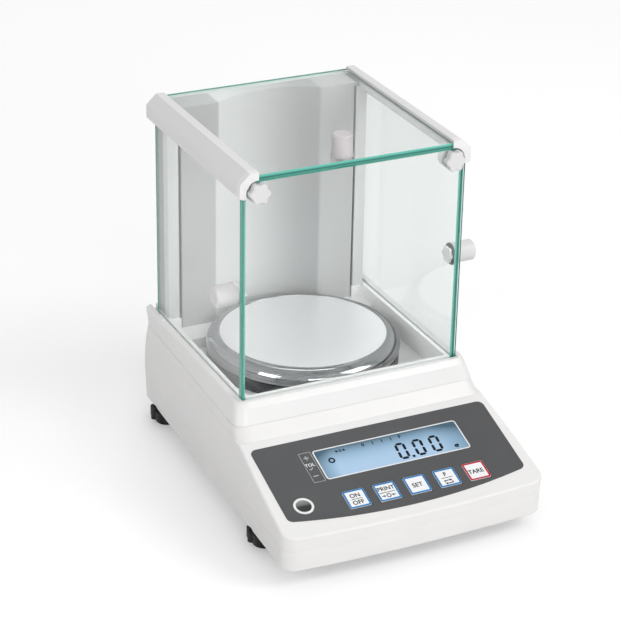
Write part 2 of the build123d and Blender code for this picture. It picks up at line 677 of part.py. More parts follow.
with BuildPart() as shield_frame:
    add(tray_outer)
    with BuildSketch(Plane.XY.offset(HOUSING_TOP)):
        with Locations((0, CHAMBER_FRONT_Y)):
            Rectangle(2 * LIP_INNER, TRAY_FLOOR_Y - CHAMBER_FRONT_Y, align=(Align.CENTER, Align.MIN))
        with Locations((0, PAN_Y)):
            Circle(RING_OPENING)
    extrude(amount=TRAY_TOP - HOUSING_TOP, mode=Mode.SUBTRACT)
    with BuildSketch(Plane.XY.offset(TRAY_FLOOR)):
        with Locations((0, CHAMBER_FRONT_Y)):
            Rectangle(
                2 * LIP_INNER, COLUMN_REAR_Y + POST_GAP - CHAMBER_FRONT_Y, align=(Align.CENTER, Align.MIN)
            )
        with Locations((0, COLUMN_FRONT_Y - PEDESTAL_STEP)):
            Rectangle(
                2 * (POST_OUTER + POST_GAP),
                COLUMN_REAR_Y + POST_GAP - COLUMN_FRONT_Y + PEDESTAL_STEP,
                align=(Align.CENTER, Align.MIN),
            )
    extrude(amount=TRAY_TOP - TRAY_FLOOR, mode=Mode.SUBTRACT)
    for side in (LEFT, RIGHT):
        with BuildSketch(Plane.XY.offset(TRAY_FLOOR)):
            with Locations((side * (POST_INNER + POST_OUTER) / 2, COLUMN_FRONT_Y - PEDESTAL_STEP)):
                Rectangle(
                    POST_OUTER - POST_INNER + 2 * PEDESTAL_STEP,
                    POST_DEPTH + PEDESTAL_STEP,
                    align=(Align.CENTER, Align.MIN),
                )
        extrude(amount=PEDESTAL_HEIGHT)
        with BuildSketch(Plane.XY.offset(TRAY_TOP)):
            with Locations(*[(side * (GROOVE_OUTER + TAB_WIDTH / 2), y) for y in TAB_YS]):
                Rectangle(TAB_WIDTH, TAB_LENGTH)
        extrude(amount=TAB_HEIGHT)
        with BuildSketch(Plane.XY.offset(GROOVE_FLOOR)):
            with Locations((side * (GROOVE_INNER + GROOVE_OUTER) / 2, PANE_REAR_Y)):
                Rectangle(
                    GROOVE_OUTER - GROOVE_INNER, TRAY_REAR_Y + OVER - PANE_REAR_Y, align=(Align.CENTER, Align.MIN)
                )
        extrude(amount=OVER, mode=Mode.SUBTRACT)
    with BuildSketch(Plane.XY.offset(GROOVE_FLOOR)):
        with Locations((0, (SHIELD_FRONT_Y + PANE_REAR_Y) / 2)):
            Rectangle(2 * (PANE_HALF + SLIDE_GAP), GLASS + 2 * SLIDE_GAP)
    extrude(amount=OVER, mode=Mode.SUBTRACT)
finish(shield_frame, "shield_frame")

# Front pane, notched at its upper corners round the rail caps
with BuildPart() as front_glass:
    with BuildSketch(facing(SHIELD_FRONT_Y)):
        with BuildLine():
            Polyline(
                (-PANE_HALF, DOOR_BOTTOM),
                (PANE_HALF, DOOR_BOTTOM),
                (PANE_HALF, RAIL_BOTTOM - SLIDE_GAP),
                (PANE_TOP_HALF, RAIL_BOTTOM - SLIDE_GAP),
                (PANE_TOP_HALF, LIP_TOP),
                (-PANE_TOP_HALF, LIP_TOP),
                (-PANE_TOP_HALF, RAIL_BOTTOM - SLIDE_GAP),
                (-PANE_HALF, RAIL_BOTTOM - SLIDE_GAP),
                close=True,
            )
        make_face()
        with Locations((-CLAMP_X, CLAMP_Z), (CLAMP_X, CLAMP_Z)):
            Circle(CLAMP_HOLE, mode=Mode.SUBTRACT)
    extrude(amount=-GLASS)
    chamfer(front_glass.faces().sort_by(Axis.Y)[0].outer_wire().edges(), GLASS_EDGE)
finish(front_glass, "front_glass")

# Rails, their front caps and the posts they stand on
foot_slope = (RAIL_FOOT_Z - RAIL_BOTTOM) / (GROOVE_INNER - RAIL_FOOT_X)
for side_name, side in SIDES:
    with BuildSketch() as rail_section:
        with BuildLine():
            Polyline(
                (side * RAIL_INNER, RAIL_TOP),
                (side * RAIL_FLAT, RAIL_TOP),
                (side * RAIL_OUTER, RAIL_SHOULDER),
                (side * RAIL_OUTER, RAIL_SKIRT),
                (side * GROOVE_OUTER, RAIL_BOTTOM),
                (side * GROOVE_INNER, RAIL_BOTTOM),
                (side * RAIL_FOOT_X, RAIL_FOOT_Z),
                (side * RAIL_INNER, RAIL_LIP_Z),
                close=True,
            )
        make_face()
    with BuildSketch() as slot_section:
        with Locations((side * (RAIL_INNER + TOP_DOOR_HALF + SLIDE_GAP) / 2, (LIP_TOP + TOP_DOOR_TOP + SLIDE_GAP) / 2)):
            Rectangle(TOP_DOOR_HALF + SLIDE_GAP - RAIL_INNER, TOP_DOOR_TOP + SLIDE_GAP - LIP_TOP)

    with BuildPart() as rail:
        with BuildSketch(facing(RAIL_FRONT_Y)):
            add(rail_section.sketch)
        extrude(amount=RAIL_FRONT_Y - RAIL_REAR_Y)
        with BuildSketch(facing(RAIL_FRONT_Y)):
            with Locations((side * CLAMP_X, CLAMP_Z)):
                Circle(BOSS_RADIUS)
        extrude(amount=-BOSS_LENGTH)
        with BuildSketch(facing(RAIL_FRONT_Y)):
            with Locations((side * (GROOVE_INNER + GROOVE_OUTER) / 2, DOOR_TOP + SLIDE_GAP)):
                Rectangle(GROOVE_OUTER - GROOVE_INNER, OVER, align=(Align.CENTER, Align.MAX))
            add(slot_section.sketch)
        extrude(amount=RAIL_FRONT_Y - RAIL_REAR_Y, mode=Mode.SUBTRACT)
        with BuildSketch(facing(RAIL_FRONT_Y)):
            with Locations((side * CLAMP_X, CLAMP_Z)):
                Circle(CLAMP_SHANK + SCREW_GAP)
        extrude(amount=-(BOSS_LENGTH + SLIDE_GAP), mode=Mode.SUBTRACT)
    finish(rail, f"{side_name}_rail")

    with BuildPart() as rail_cap:
        with BuildSketch(facing(SHIELD_FRONT_Y - CAP_PROUD)):
            add(rail_section.sketch)
        extrude(amount=SHIELD_FRONT_Y - CAP_PROUD - RAIL_FRONT_Y)
        with BuildSketch(facing(SHIELD_FRONT_Y)):
            with Locations((side * (PANE_TOP_HALF + SLIDE_GAP), TOP_DOOR_Z)):
                Rectangle(OVER, OVER, align=(Align.MAX if side > 0 else Align.MIN, Align.MAX))
        extrude(amount=-OVER, mode=Mode.SUBTRACT)
        with BuildSketch(facing(SHIELD_FRONT_Y - SLIDE_GAP)):
            add(slot_section.sketch)
        extrude(amount=-OVER, mode=Mode.SUBTRACT)
        with BuildSketch(facing(SHIELD_FRONT_Y)):
            with Locations((side * CLAMP_X, CLAMP_Z)):
                Circle(CLAMP_SCOOP)
        extrude(amount=OVER, mode=Mode.SUBTRACT)
    finish(rail_cap, f"{side_name}_rail_cap")

    with BuildPart() as post:
        with BuildSketch(facing(COLUMN_FRONT_Y)):
            with BuildLine():
                Polyline(
                    (side * POST_INNER, TRAY_FLOOR + PEDESTAL_HEIGHT),
                    (side * POST_OUTER, TRAY_FLOOR + PEDESTAL_HEIGHT),
                    (side * POST_OUTER, RAIL_FOOT_Z - (POST_OUTER - RAIL_FOOT_X) * foot_slope),
                    (side * RAIL_FOOT_X, RAIL_FOOT_Z),
                    (side * RAIL_INNER, RAIL_LIP_Z),
                    (side * POST_INNER, RAIL_LIP_Z),
                    close=True,
                )
            make_face()
        extrude(amount=-POST_DEPTH)
        chamfer(post.faces().sort_by(Axis.Y)[0].edges().filter_by(Axis.Z), POST_EDGE)
    finish(post, f"{side_name}_post")

    with BuildPart() as clamp_knob:
        with BuildSketch(facing(SHIELD_FRONT_Y - SLIDE_GAP)):
            with Locations((side * CLAMP_X, CLAMP_Z)):
                add(lobed(CLAMP_RADIUS, CLAMP_LOBE_RADIUS, CLAMP_LOBES))
        extrude(amount=CLAMP_LENGTH)
        chamfer(clamp_knob.faces().sort_by(Axis.Y)[0].edges(), CLAMP_EDGE)
        with BuildSketch(facing(SHIELD_FRONT_Y - SLIDE_GAP)):
            with Locations((side * CLAMP_X, CLAMP_Z)):
                Circle(CLAMP_SHANK)
        extrude(amount=SHIELD_FRONT_Y - SLIDE_GAP - RAIL_FRONT_Y - BOSS_LENGTH)
    finish(clamp_knob, f"{side_name}_clamp_knob")

# Side doors: a pane with its knob outside and a lobed nut inside
for side_name, side in SIDES:
    with BuildPart() as door_glass:
        with BuildSketch(Plane.YZ.offset(side * DOOR_INNER)):
            with Locations((DOOR_FRONT_Y, DOOR_BOTTOM)):
                Rectangle(DOOR_REAR_Y - DOOR_FRONT_Y, DOOR_TOP - DOOR_BOTTOM, align=(Align.MIN, Align.MIN))
            with Locations((KNOB_Y, KNOB_Z)):
                Circle(KNOB_SHANK + SLIDE_GAP, mode=Mode.SUBTRACT)
        extrude(amount=side * GLASS)
        chamfer(door_glass.edges().filter_by(Axis.Z), GLASS_EDGE)
    finish(door_glass, f"{side_name}_door_glass")
    finish(
        door_knob((side * DOOR_OUTER, KNOB_Y, KNOB_Z), (side, 0, 0), KNOB_LENGTH, KNOB_TIP, GLASS),
        f"{side_name}_door_knob",
    )
    finish(
        knob_nut((side * DOOR_INNER, KNOB_Y, KNOB_Z), (-side, 0, 0), DISC_RADIUS, DISC_LOBE_RADIUS),
        f"{side_name}_knob_nut",
    )

# Top door, which slides in the slots of the rails
with BuildPart() as top_door_glass:
    with BuildSketch(Plane.XY.offset(TOP_DOOR_Z)):
        with Locations((0, SHIELD_FRONT_Y)):
            Rectangle(2 * TOP_DOOR_HALF, TOP_DOOR_REAR_Y - SHIELD_FRONT_Y, align=(Align.CENTER, Align.MIN))
        with Locations((TOP_KNOB_X, TOP_KNOB_Y)):
            Circle(KNOB_SHANK + SLIDE_GAP, mode=Mode.SUBTRACT)
    extrude(amount=TOP_GLASS)
    chamfer(top_door_glass.edges().filter_by(Axis.X), GLASS_EDGE)
finish(top_door_glass, "top_door_glass")
finish(
    door_knob((TOP_KNOB_X, TOP_KNOB_Y, TOP_DOOR_TOP), (0, 0, 1), TOP_KNOB_LENGTH, TOP_KNOB_TIP, TOP_GLASS),
    "top_door_knob",
)
finish(knob_nut((TOP_KNOB_X, TOP_KNOB_Y, TOP_DOOR_Z), (0, 0, -1), TOP_DISC_RADIUS, TOP_DISC_LOBE), "top_knob_nut")

# Rear column: a bent back wall, its top plate and the cover behind them
with BuildPart() as back_wall:
    with BuildSketch(Plane.XY.offset(TRAY_FLOOR)) as back_outline:
        with Locations((0, COLUMN_FRONT_Y)):
            Rectangle(2 * BACK_WALL_HALF, RECESS_RADIUS, align=(Align.CENTER, Align.MIN))
        with Locations((0, PAN_Y)):
            Circle(RECESS_RADIUS + SHEET, mode=Mode.INTERSECT)
        with Locations((0, COLUMN_FRONT_Y)):
            Rectangle(2 * BACK_WALL_HALF, SHEET, align=(Align.CENTER, Align.MIN))
        with Locations((0, PAN_Y)):
            Circle(RECESS_RADIUS, mode=Mode.SUBTRACT)
        fillet(back_outline.vertices().group_by(Axis.Y)[0].sort_by(Axis.X)[1:3], RECESS_EDGE)
    extrude(amount=COLUMN_TOP - TOP_PLATE - TRAY_FLOOR)
finish(back_wall, "back_wall")

with BuildPart() as column_top:
    with BuildSketch(Plane.XY.offset(COLUMN_TOP - TOP_PLATE)) as plate_outline:
        with Locations((0, COLUMN_FRONT_Y)):
            Rectangle(
                2 * (POST_INNER - POST_GAP), BAR_FRONT_Y - COLUMN_FRONT_Y, align=(Align.CENTER, Align.MIN)
            )
        with Locations((0, PAN_Y)):
            Circle(RECESS_RADIUS, mode=Mode.SUBTRACT)
        fillet(plate_outline.vertices().group_by(Axis.Y)[0].sort_by(Axis.X)[1:3], RECESS_EDGE)
    extrude(amount=TOP_PLATE)
finish(column_top, "column_top")

with BuildPart() as column_cover:
    with BuildSketch(Plane.XY.offset(TRAY_FLOOR)) as cover_outline:
        with Locations((0, COLUMN_REAR_Y)):
            Rectangle(
                2 * COLUMN_HALF, COLUMN_REAR_Y - COLUMN_FRONT_Y - POST_DEPTH, align=(Align.CENTER, Align.MAX)
            )
        fillet(cover_outline.vertices().group_by(Axis.Y)[-1], COLUMN_CORNER)
        with Locations((0, COLUMN_REAR_Y - SHEET)):
            Rectangle(2 * (COLUMN_HALF - SHEET), COLUMN_REAR_Y, align=(Align.CENTER, Align.MAX), mode=Mode.SUBTRACT)
    extrude(amount=BAR_BOTTOM - TRAY_FLOOR)
    with BuildSketch(facing(COLUMN_FRONT_Y)):
        for side in (LEFT, RIGHT):
            with Locations((side * (RAIL_INNER - POST_GAP), RAIL_BOTTOM - POST_GAP)):
                Rectangle(OVER, OVER, align=(Align.MIN if side > 0 else Align.MAX, Align.MIN))
    extrude(amount=COLUMN_FRONT_Y - COLUMN_REAR_Y - OVER, mode=Mode.SUBTRACT)
finish(column_cover, "column_cover")

with BuildPart() as rear_bar:
    with BuildSketch(Plane.XY.offset(BAR_BOTTOM)):
        with Locations((0, COLUMN_REAR_Y)):
            Rectangle(2 * (RAIL_INNER - POST_GAP), BAR_DEPTH, align=(Align.CENTER, Align.MAX))
    extrude(amount=BAR_HEIGHT)
finish(rear_bar, "rear_bar")

# Weighing pan: a flat disc in a turned rim
with BuildPart() as weighing_pan:
    with BuildSketch(Plane.XY.offset(PAN_UNDERSIDE)):
        with Locations((0, PAN_Y)):
            Circle(PAN_DISC_RADIUS)
    extrude(amount=PAN_SHEET)
    with BuildSketch(Plane.XY.offset(PAN_UNDERSIDE)):
        with Locations((0, PAN_Y)):
            Circle(HUB_RADIUS)
            Circle(CARRIER_PIN + SLIDE_GAP, mode=Mode.SUBTRACT)
    extrude(amount=-HUB_LENGTH)
finish(weighing_pan, "weighing_pan")

rim_plane = Plane(origin=(0, PAN_Y, 0), x_dir=(1, 0, 0), z_dir=(0, -1, 0))
rim_shoulder = PAN_DISC_RADIUS + BEAD_WIDTH
with BuildPart() as pan_rim:
    with BuildSketch(rim_plane):
        with BuildLine():
            ThreePointArc(
                (PAN_DISC_RADIUS, PAN_TOP),
                (PAN_DISC_RADIUS + BEAD_WIDTH / 2, PAN_TOP + BEAD_HEIGHT),
                (rim_shoulder, PAN_TOP),
            )
            rim_curve = JernArc((rim_shoulder, PAN_TOP), (1, -0.12), RIM_RADIUS - rim_shoulder, -78)
            Polyline(
                rim_curve @ 1,
                (RIM_RADIUS, RIM_WIDEST_Z),
                (RIM_RADIUS - RIM_WALL / 2, RIM_BOTTOM),
                (RIM_RADIUS - RIM_WALL, RIM_BOTTOM),
                (RIM_RADIUS - RIM_WALL, RIM_WIDEST_Z),
                (rim_shoulder, PAN_UNDERSIDE - PAN_SHEET),
                (PAN_DISC_RADIUS - RIM_SEAT, PAN_UNDERSIDE - PAN_SHEET),
                (PAN_DISC_RADIUS - RIM_SEAT, PAN_UNDERSIDE),
                (PAN_DISC_RADIUS, PAN_UNDERSIDE),
                (PAN_DISC_RADIUS, PAN_TOP),
            )
        make_face()
    revolve(axis=Axis((0, PAN_Y, 0), (0, 0, 1)))
finish(pan_rim, "pan_rim")

# Ring under the pan, standing on the chamber floor
with BuildPart() as pan_ring:
    with BuildSketch(Plane.XY.offset(CHAMBER_FLOOR)):
        with Locations((0, PAN_Y)):
            Circle(RING_RADIUS)
            Circle(RING_RADIUS - RING_WALL, mode=Mode.SUBTRACT)
    extrude(amount=RIM_BOTTOM - PAN_GAP - CHAMBER_FLOOR)
finish(pan_ring, "pan_ring")

# Carrier: four arms under the pan on a hub that reaches down to the load cell
with BuildPart() as pan_carrier:
    with BuildSketch(Plane.XY.offset(BRACKET_TOP)):
        with Locations((0, PAN_Y)):
            Circle(CARRIER_HUB)
    extrude(amount=ARM_TOP - BRACKET_TOP)
    with BuildSketch(Plane.XY.offset(ARM_TOP - ARM_THICK)):
        with Locations((0, PAN_Y)):
            with PolarLocations(ARM_LENGTH / 2, ARM_COUNT, start_angle=180 / ARM_COUNT):
                Rectangle(ARM_LENGTH, ARM_WIDTH)
    extrude(amount=ARM_THICK)
    with BuildSketch(Plane.XY.offset(ARM_TOP)):
        with Locations((0, PAN_Y)):
            Circle(CARRIER_PIN)
            with PolarLocations(ARM_LENGTH - ARM_PAD, ARM_COUNT, start_angle=180 / ARM_COUNT):
                Circle(ARM_PAD)
    extrude(amount=PAN_UNDERSIDE - SLIDE_GAP - ARM_TOP)
finish(pan_carrier, "pan_carrier")

# Load cell: a beam whose two joined holes leave thin flexures above and below
with BuildPart() as load_cell:
    with BuildSketch(Plane.YZ.offset(-CELL_WIDTH / 2)):
        with Locations((PAN_Y, CELL_Z + CELL_HEIGHT / 2)):
            Rectangle(CELL_LENGTH, CELL_HEIGHT)
            with GridLocations(FLEX_SPACING, 0, 2, 1):
                Circle(FLEX_RADIUS, mode=Mode.SUBTRACT)
            Rectangle(FLEX_SPACING, FLEX_SLOT, mode=Mode.SUBTRACT)
    extrude(amount=CELL_WIDTH)
    with Locations(*[(0, y, CELL_Z + CELL_HEIGHT) for y in CELL_SCREW_YS]):
        with GridLocations(CELL_SCREW_PITCH, 0, 2, 1):
            Hole(CELL_SCREW, CELL_HEIGHT)
finish(load_cell, "load_cell")

with BuildPart() as load_cell_seat:
    with BuildSketch(Plane.XY.offset(BODY_FLOOR)):
        with Locations((0, CELL_FRONT_Y + CELL_END / 2)):
            Rectangle(CELL_WIDTH, CELL_END)
            with GridLocations(CELL_SCREW_PITCH, 0, 2, 1):
                Circle(CELL_SCREW, mode=Mode.SUBTRACT)
    extrude(amount=CELL_Z - BODY_FLOOR)
finish(load_cell_seat, "load_cell_seat")

with BuildPart() as overload_stop:
    with BuildSketch(Plane.XY.offset(BODY_FLOOR)):
        with Locations((0, CELL_REAR_Y - CELL_END / 2)):
            Circle(STOP_RADIUS)
    extrude(amount=CELL_Z - STOP_GAP - BODY_FLOOR)
    chamfer(overload_stop.edges().group_by(Axis.Z)[-1], STOP_GAP)
finish(overload_stop, "overload_stop")

# Bridge that carries the pan from the free end of the load cell back to the middle
with BuildPart() as carrier_bridge:
    with BuildSketch(Plane.YZ.offset(-BRACKET_WIDTH / 2)):
        with BuildLine():
            Polyline(
                (PAN_Y - BRACKET_WIDTH / 2, BRACKET_BOTTOM),
                (CELL_REAR_Y - CELL_END, BRACKET_BOTTOM),
                (CELL_REAR_Y - CELL_END, BRACKET_BOTTOM - BRACKET_STEP),
                (CELL_REAR_Y, BRACKET_BOTTOM - BRACKET_STEP),
                (CELL_REAR_Y, BRACKET_TOP),
                (PAN_Y - BRACKET_WIDTH / 2, BRACKET_TOP),
                close=True,
            )
        make_face()
    extrude(amount=BRACKET_WIDTH)
    with BuildSketch(Plane.XY.offset(BRACKET_TOP)):
        with Locations((0, CELL_SCREW_YS[0])):
            with GridLocations(CELL_SCREW_PITCH, 0, 2, 1):
                Circle(CELL_SCREW)
    extrude(amount=-2 * BRACKET_THICK, mode=Mode.SUBTRACT)
finish(carrier_bridge, "carrier_bridge")

# Screws of the load cell: two through the bridge, two from below through the seat
with BuildPart() as load_cell_screws:
    for head_z, end_y, up in ((BRACKET_TOP, CELL_SCREW_YS[0], 1), (CELL_Z + CELL_HEIGHT, CELL_SCREW_YS[1], 1)):
        with BuildSketch(Plane.XY.offset(head_z)):
            with Locations((0, end_y)):
                with GridLocations(CELL_SCREW_PITCH, 0, 2, 1):
                    Circle(CELL_SCREW_HEAD)
        extrude(amount=CELL_SCREW_HEIGHT)
        with BuildSketch(Plane.XY.offset(head_z)):
            with Locations((0, end_y)):
                with GridLocations(CELL_SCREW_PITCH, 0, 2, 1):
                    Circle(CELL_SCREW)
        extrude(amount=-(head_z - CELL_Z - CELL_HEIGHT + CELL_SCREW_DEPTH))
finish(load_cell_screws, "load_cell_screws")

# Main circuit board on the standoffs of the lower housing
with BuildPart() as main_board:
    with BuildSketch(Plane.XY.offset(BOARD_Z)):
        with Locations((0, BOARD_Y)):
            Rectangle(BOARD_WIDTH, BOARD_LENGTH)
    extrude(amount=BOARD_THICK)
    for chip_x, chip_y, chip_width, chip_length, chip_height in CHIP_SIZES:
        with BuildSketch(Plane.XY.offset(BOARD_Z + BOARD_THICK)):
            with Locations((chip_x, BOARD_Y + chip_y)):
                Rectangle(chip_width, chip_length)
        extrude(amount=chip_height)
finish(main_board, "main_board")

# Levelling feet: a scalloped wheel with its stud, on a soft pad
for (foot_x, foot_y), end_name in zip(FOOT_PLACES, ("front_left", "front_right", "rear_left", "rear_right")):
    with BuildPart() as foot:
        with BuildSketch(Plane.XY.offset(PAD_HEIGHT)):
            with Locations((foot_x, foot_y)):
                add(lobed(FOOT_RADIUS, FOOT_LOBE_RADIUS, FOOT_LOBES))
        extrude(amount=FOOT_TOP - PAD_HEIGHT)
        with BuildSketch(Plane.XY.offset(FOOT_TOP)):
            with Locations((foot_x, foot_y)):
                Circle(STUD_RADIUS)
        extrude(amount=STUD_TOP - FOOT_TOP)
    finish(foot, f"{end_name}_foot")

    with BuildPart() as foot_pad:
        for level, radius in ((0, PAD_TIP), (PAD_HEIGHT, PAD_RADIUS)):
            with BuildSketch(Plane.XY.offset(level)):
                with Locations((foot_x, foot_y)):
                    Circle(radius)
        loft()
    finish(foot_pad, f"{end_name}_pad")

# Power inlet: a round socket with a centre pin, set against the rear wall
wall_inner_y = REAR_Y - WALL
with BuildPart() as power_inlet:
    with BuildSketch(facing(wall_inner_y)):
        with Locations((INLET_X, INLET_Z)):
            Rectangle(INLET_SIZE, INLET_SIZE)
    extrude(amount=CONNECTOR_DEPTH)
    with BuildSketch(facing(wall_inner_y)):
        with Locations((INLET_X, INLET_Z)):
            Circle(INLET_BARREL)
    extrude(amount=-(WALL - CONNECTOR_INSET))
    with BuildSketch(facing(REAR_Y)):
        with Locations((INLET_X, INLET_Z)):
            Circle(INLET_BORE)
            Circle(INLET_PIN, mode=Mode.SUBTRACT)
    extrude(amount=INLET_DEPTH, mode=Mode.SUBTRACT)
finish(power_inlet, "power_inlet")

# Serial port: a nine-way connector with a slanted shell and two jack nuts
with BuildPart() as serial_port:
    with BuildSketch(facing(wall_inner_y)):
        with Locations((SERIAL_X, SERIAL_Z)):
            Rectangle(SERIAL_WIDTH, SERIAL_HEIGHT)
    extrude(amount=CONNECTOR_DEPTH)
    with BuildSketch(facing(wall_inner_y)):
        with Locations((SERIAL_X, SERIAL_Z)):
            Trapezoid(SERIAL_SHELL, SERIAL_SHELL_HEIGHT, 90 - SERIAL_SHELL_SLANT)
            with GridLocations(SERIAL_NUT_SPACING, 0, 2, 1):
                RegularPolygon(SERIAL_NUT, 6)
    extrude(amount=-(WALL - CONNECTOR_INSET))
finish(serial_port, "serial_port")

# Screws of the housing, driven from below
with BuildPart() as housing_screws:
    with BuildSketch(Plane.XY.offset(BODY_BOTTOM + SCREW_SINK)):
        with Locations(*SCREW_PLACES):
            Circle(SCREW_HEAD)
    extrude(amount=SCREW_HEAD_HEIGHT)
    with BuildSketch(Plane.XY.offset(BODY_BOTTOM + SCREW_SINK + SCREW_HEAD_HEIGHT)):
        with Locations(*SCREW_PLACES):
            Circle(SCREW_RADIUS)
    extrude(amount=SCREW_TOP - BODY_BOTTOM - SCREW_SINK - SCREW_HEAD_HEIGHT)
finish(housing_screws, "housing_screws")
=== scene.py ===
import math

import bmesh
import bpy
from mathutils import Matrix, Vector


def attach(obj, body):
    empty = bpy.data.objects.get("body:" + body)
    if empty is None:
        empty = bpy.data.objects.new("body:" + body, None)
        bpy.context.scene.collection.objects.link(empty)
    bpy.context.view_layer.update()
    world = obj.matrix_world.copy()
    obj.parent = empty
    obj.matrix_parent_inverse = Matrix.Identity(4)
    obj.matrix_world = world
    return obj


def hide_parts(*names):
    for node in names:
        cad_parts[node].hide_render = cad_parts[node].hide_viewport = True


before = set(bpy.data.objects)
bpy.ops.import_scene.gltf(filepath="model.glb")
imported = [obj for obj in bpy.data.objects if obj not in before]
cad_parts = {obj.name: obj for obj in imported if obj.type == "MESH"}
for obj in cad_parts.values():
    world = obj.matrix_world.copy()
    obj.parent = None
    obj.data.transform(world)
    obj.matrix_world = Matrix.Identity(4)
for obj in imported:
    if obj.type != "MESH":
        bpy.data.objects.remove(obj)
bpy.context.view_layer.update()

MM = 0.001

# Control panel: its plane, and how far the overlay, the keys and their prints stand above it, in mm
SLOPE = math.radians(17.8)
PANEL_ORIGIN = Vector((0.0, -49.3, 53.3)) * MM
PANEL_UP = Vector((0.0, math.cos(SLOPE), math.sin(SLOPE)))
PANEL_OUT = Vector((0.0, -math.sin(SLOPE), math.cos(SLOPE)))
PANEL_START = PANEL_UP.dot(PANEL_ORIGIN) / MM
OVERLAY_H = 0.2
KEY_H = 0.4
OVERLAY_PRINT_H = OVERLAY_H + 0.01
KEY_PRINT_H = KEY_H + 0.005

# Display window on the panel, as (low, high) in x and s
DISPLAY_X = (-41.0, 52.0)
DISPLAY_S = (-33.0, -11.0)

# Level vial: its middle on the panel, and how far its painted shading reaches to either side
LEVEL_S = -48.4
LEVEL_SHADE_HALF = 4.9

# Back wall: half width in mm, and its painted light and shade from left to right, with a painted highlight
# on the left side of the recess in the middle and painted shade on its right side
WALL_HALF = 57.3
WALL_PAINTED_SHADING = (
    (0.0, 0.41),
    (0.194, 0.41),
    (0.204, 0.66),
    (0.33, 0.63),
    (0.5, 0.53),
    (0.7, 0.35),
    (0.79, 0.33),
    (0.806, 0.45),
)


def panel_point(x, s, h):
    """Point on the control panel: x across, s up the slope, h above its plane, all in mm."""
    return PANEL_ORIGIN + Vector((x * MM, 0, 0)) + PANEL_UP * (s * MM) + PANEL_OUT * (h * MM)


def tree_math(tree, operation, first, second=0.0, clamp=False):
    """Math node between two values, each a number or another node's output."""
    made = tree.nodes.new("ShaderNodeMath")
    made.operation = operation
    made.use_clamp = clamp
    for socket, value in zip(made.inputs, (first, second)):
        if isinstance(value, (int, float)):
            socket.default_value = value
        else:
            tree.links.new(value, socket)
    return made.outputs[0]


def seen_through(tree):
    """Light path outputs, and 1 for what the camera sees directly or through glass."""
    path = tree.nodes.new("ShaderNodeLightPath").outputs
    return path, tree_math(tree, "MAXIMUM", path["Is Camera Ray"], path["Is Transmission Ray"])


# ---- materials ----


class Shader:
    """A Principled material with short helpers for its nodes."""

    def __init__(self, name, color, rough, metal=0.0, **sockets):
        self.mat = bpy.data.materials.new(name)
        self.mat.use_nodes = True
        self.tree = self.mat.node_tree
        self.bsdf = self.tree.nodes["Principled BSDF"]
        self.bsdf.inputs["Base Color"].default_value = (*color, 1.0)
        self.bsdf.inputs["Roughness"].default_value = rough
        self.bsdf.inputs["Metallic"].default_value = metal
        for key, value in sockets.items():
            self.bsdf.inputs[key.replace("_", " ")].default_value = value
        self.color = color
        self.rough = rough
        self.coords = self.node("ShaderNodeTexCoord").outputs["Object"]

    def node(self, kind, **values):
        made = self.tree.nodes.new(kind)
        for key, value in values.items():
            setattr(made, key, value)
        return made

    def link(self, source, target):
        self.tree.links.new(source, target)

    def math(self, operation, first, second=0.0, clamp=False):
        return tree_math(self.tree, operation, first, second, clamp)

    def noise(self, scale, detail=2.0, rough=0.5, stretch=None):
        made = self.node("ShaderNodeTexNoise")
        made.inputs["Scale"].default_value = scale
        made.inputs["Detail"].default_value = detail
        made.inputs["Roughness"].default_value = rough
        source = self.coords
        if stretch:
            mapping = self.node("ShaderNodeMapping")
            mapping.inputs["Scale"].default_value = stretch
            self.link(source, mapping.inputs["Vector"])
            source = mapping.outputs[0]
        self.link(source, made.inputs["Vector"])
        return made.outputs["Fac"]

    def ramp(self, value, stops):
        made = self.node("ShaderNodeValToRGB")
        elements = made.color_ramp.elements
        while len(elements) < len(stops):
            elements.new(0.5)
        for element, (place, color) in zip(elements, stops):
            element.position = place
            element.color = (*color, 1.0)
        self.link(value, made.inputs[0])
        return made.outputs[0]

    def along(self, axis, low, high):
        """0 to 1 along a direction of the row frame, between two distances in mm."""
        made = self.node("ShaderNodeVectorMath", operation="DOT_PRODUCT")
        self.link(self.coords, made.inputs[0])
        made.inputs[1].default_value = axis
        past_low = self.math("SUBTRACT", made.outputs["Value"], low * MM)
        return self.math("DIVIDE", past_low, (high - low) * MM)

    def mottle(self, amount, scale):
        """Slight change of colour over the surface."""
        low = tuple(c * (1 - amount) for c in self.color)
        high = tuple(min(1.0, c * (1 + amount)) for c in self.color)
        tone = self.ramp(self.noise(scale, 3.0), [(0.3, low), (0.7, high)])
        self.link(tone, self.bsdf.inputs["Base Color"])
        return self

    def wear(self, amount, scale):
        """Roughness that changes over the surface, as handling leaves it."""
        change = self.math("MULTIPLY", self.noise(scale, 4.0), 2 * amount)
        self.link(self.math("ADD", change, self.rough - amount), self.bsdf.inputs["Roughness"])
        return self

    def grain(self, scale, depth, strength=0.5, stretch=None, detail=2.0):
        """Fine relief, with its depth in mm."""
        bump = self.node("ShaderNodeBump")
        bump.inputs["Strength"].default_value = strength
        bump.inputs["Distance"].default_value = depth * MM
        self.link(self.noise(scale, detail, stretch=stretch), bump.inputs["Height"])
        self.link(bump.outputs[0], self.bsdf.inputs["Normal"])
        return self


def clear_glass(name, tint):
    """Pane glass that lets the lamps through."""
    made = Shader(name, tint, 0.0, Transmission_Weight=1.0, IOR=1.45)
    path = made.node("ShaderNodeLightPath")
    passed = made.math("MULTIPLY", path.outputs["Is Shadow Ray"], 0.94)
    made.link(made.math("SUBTRACT", 1.0, passed), made.bsdf.inputs["Alpha"])
    return made.mat


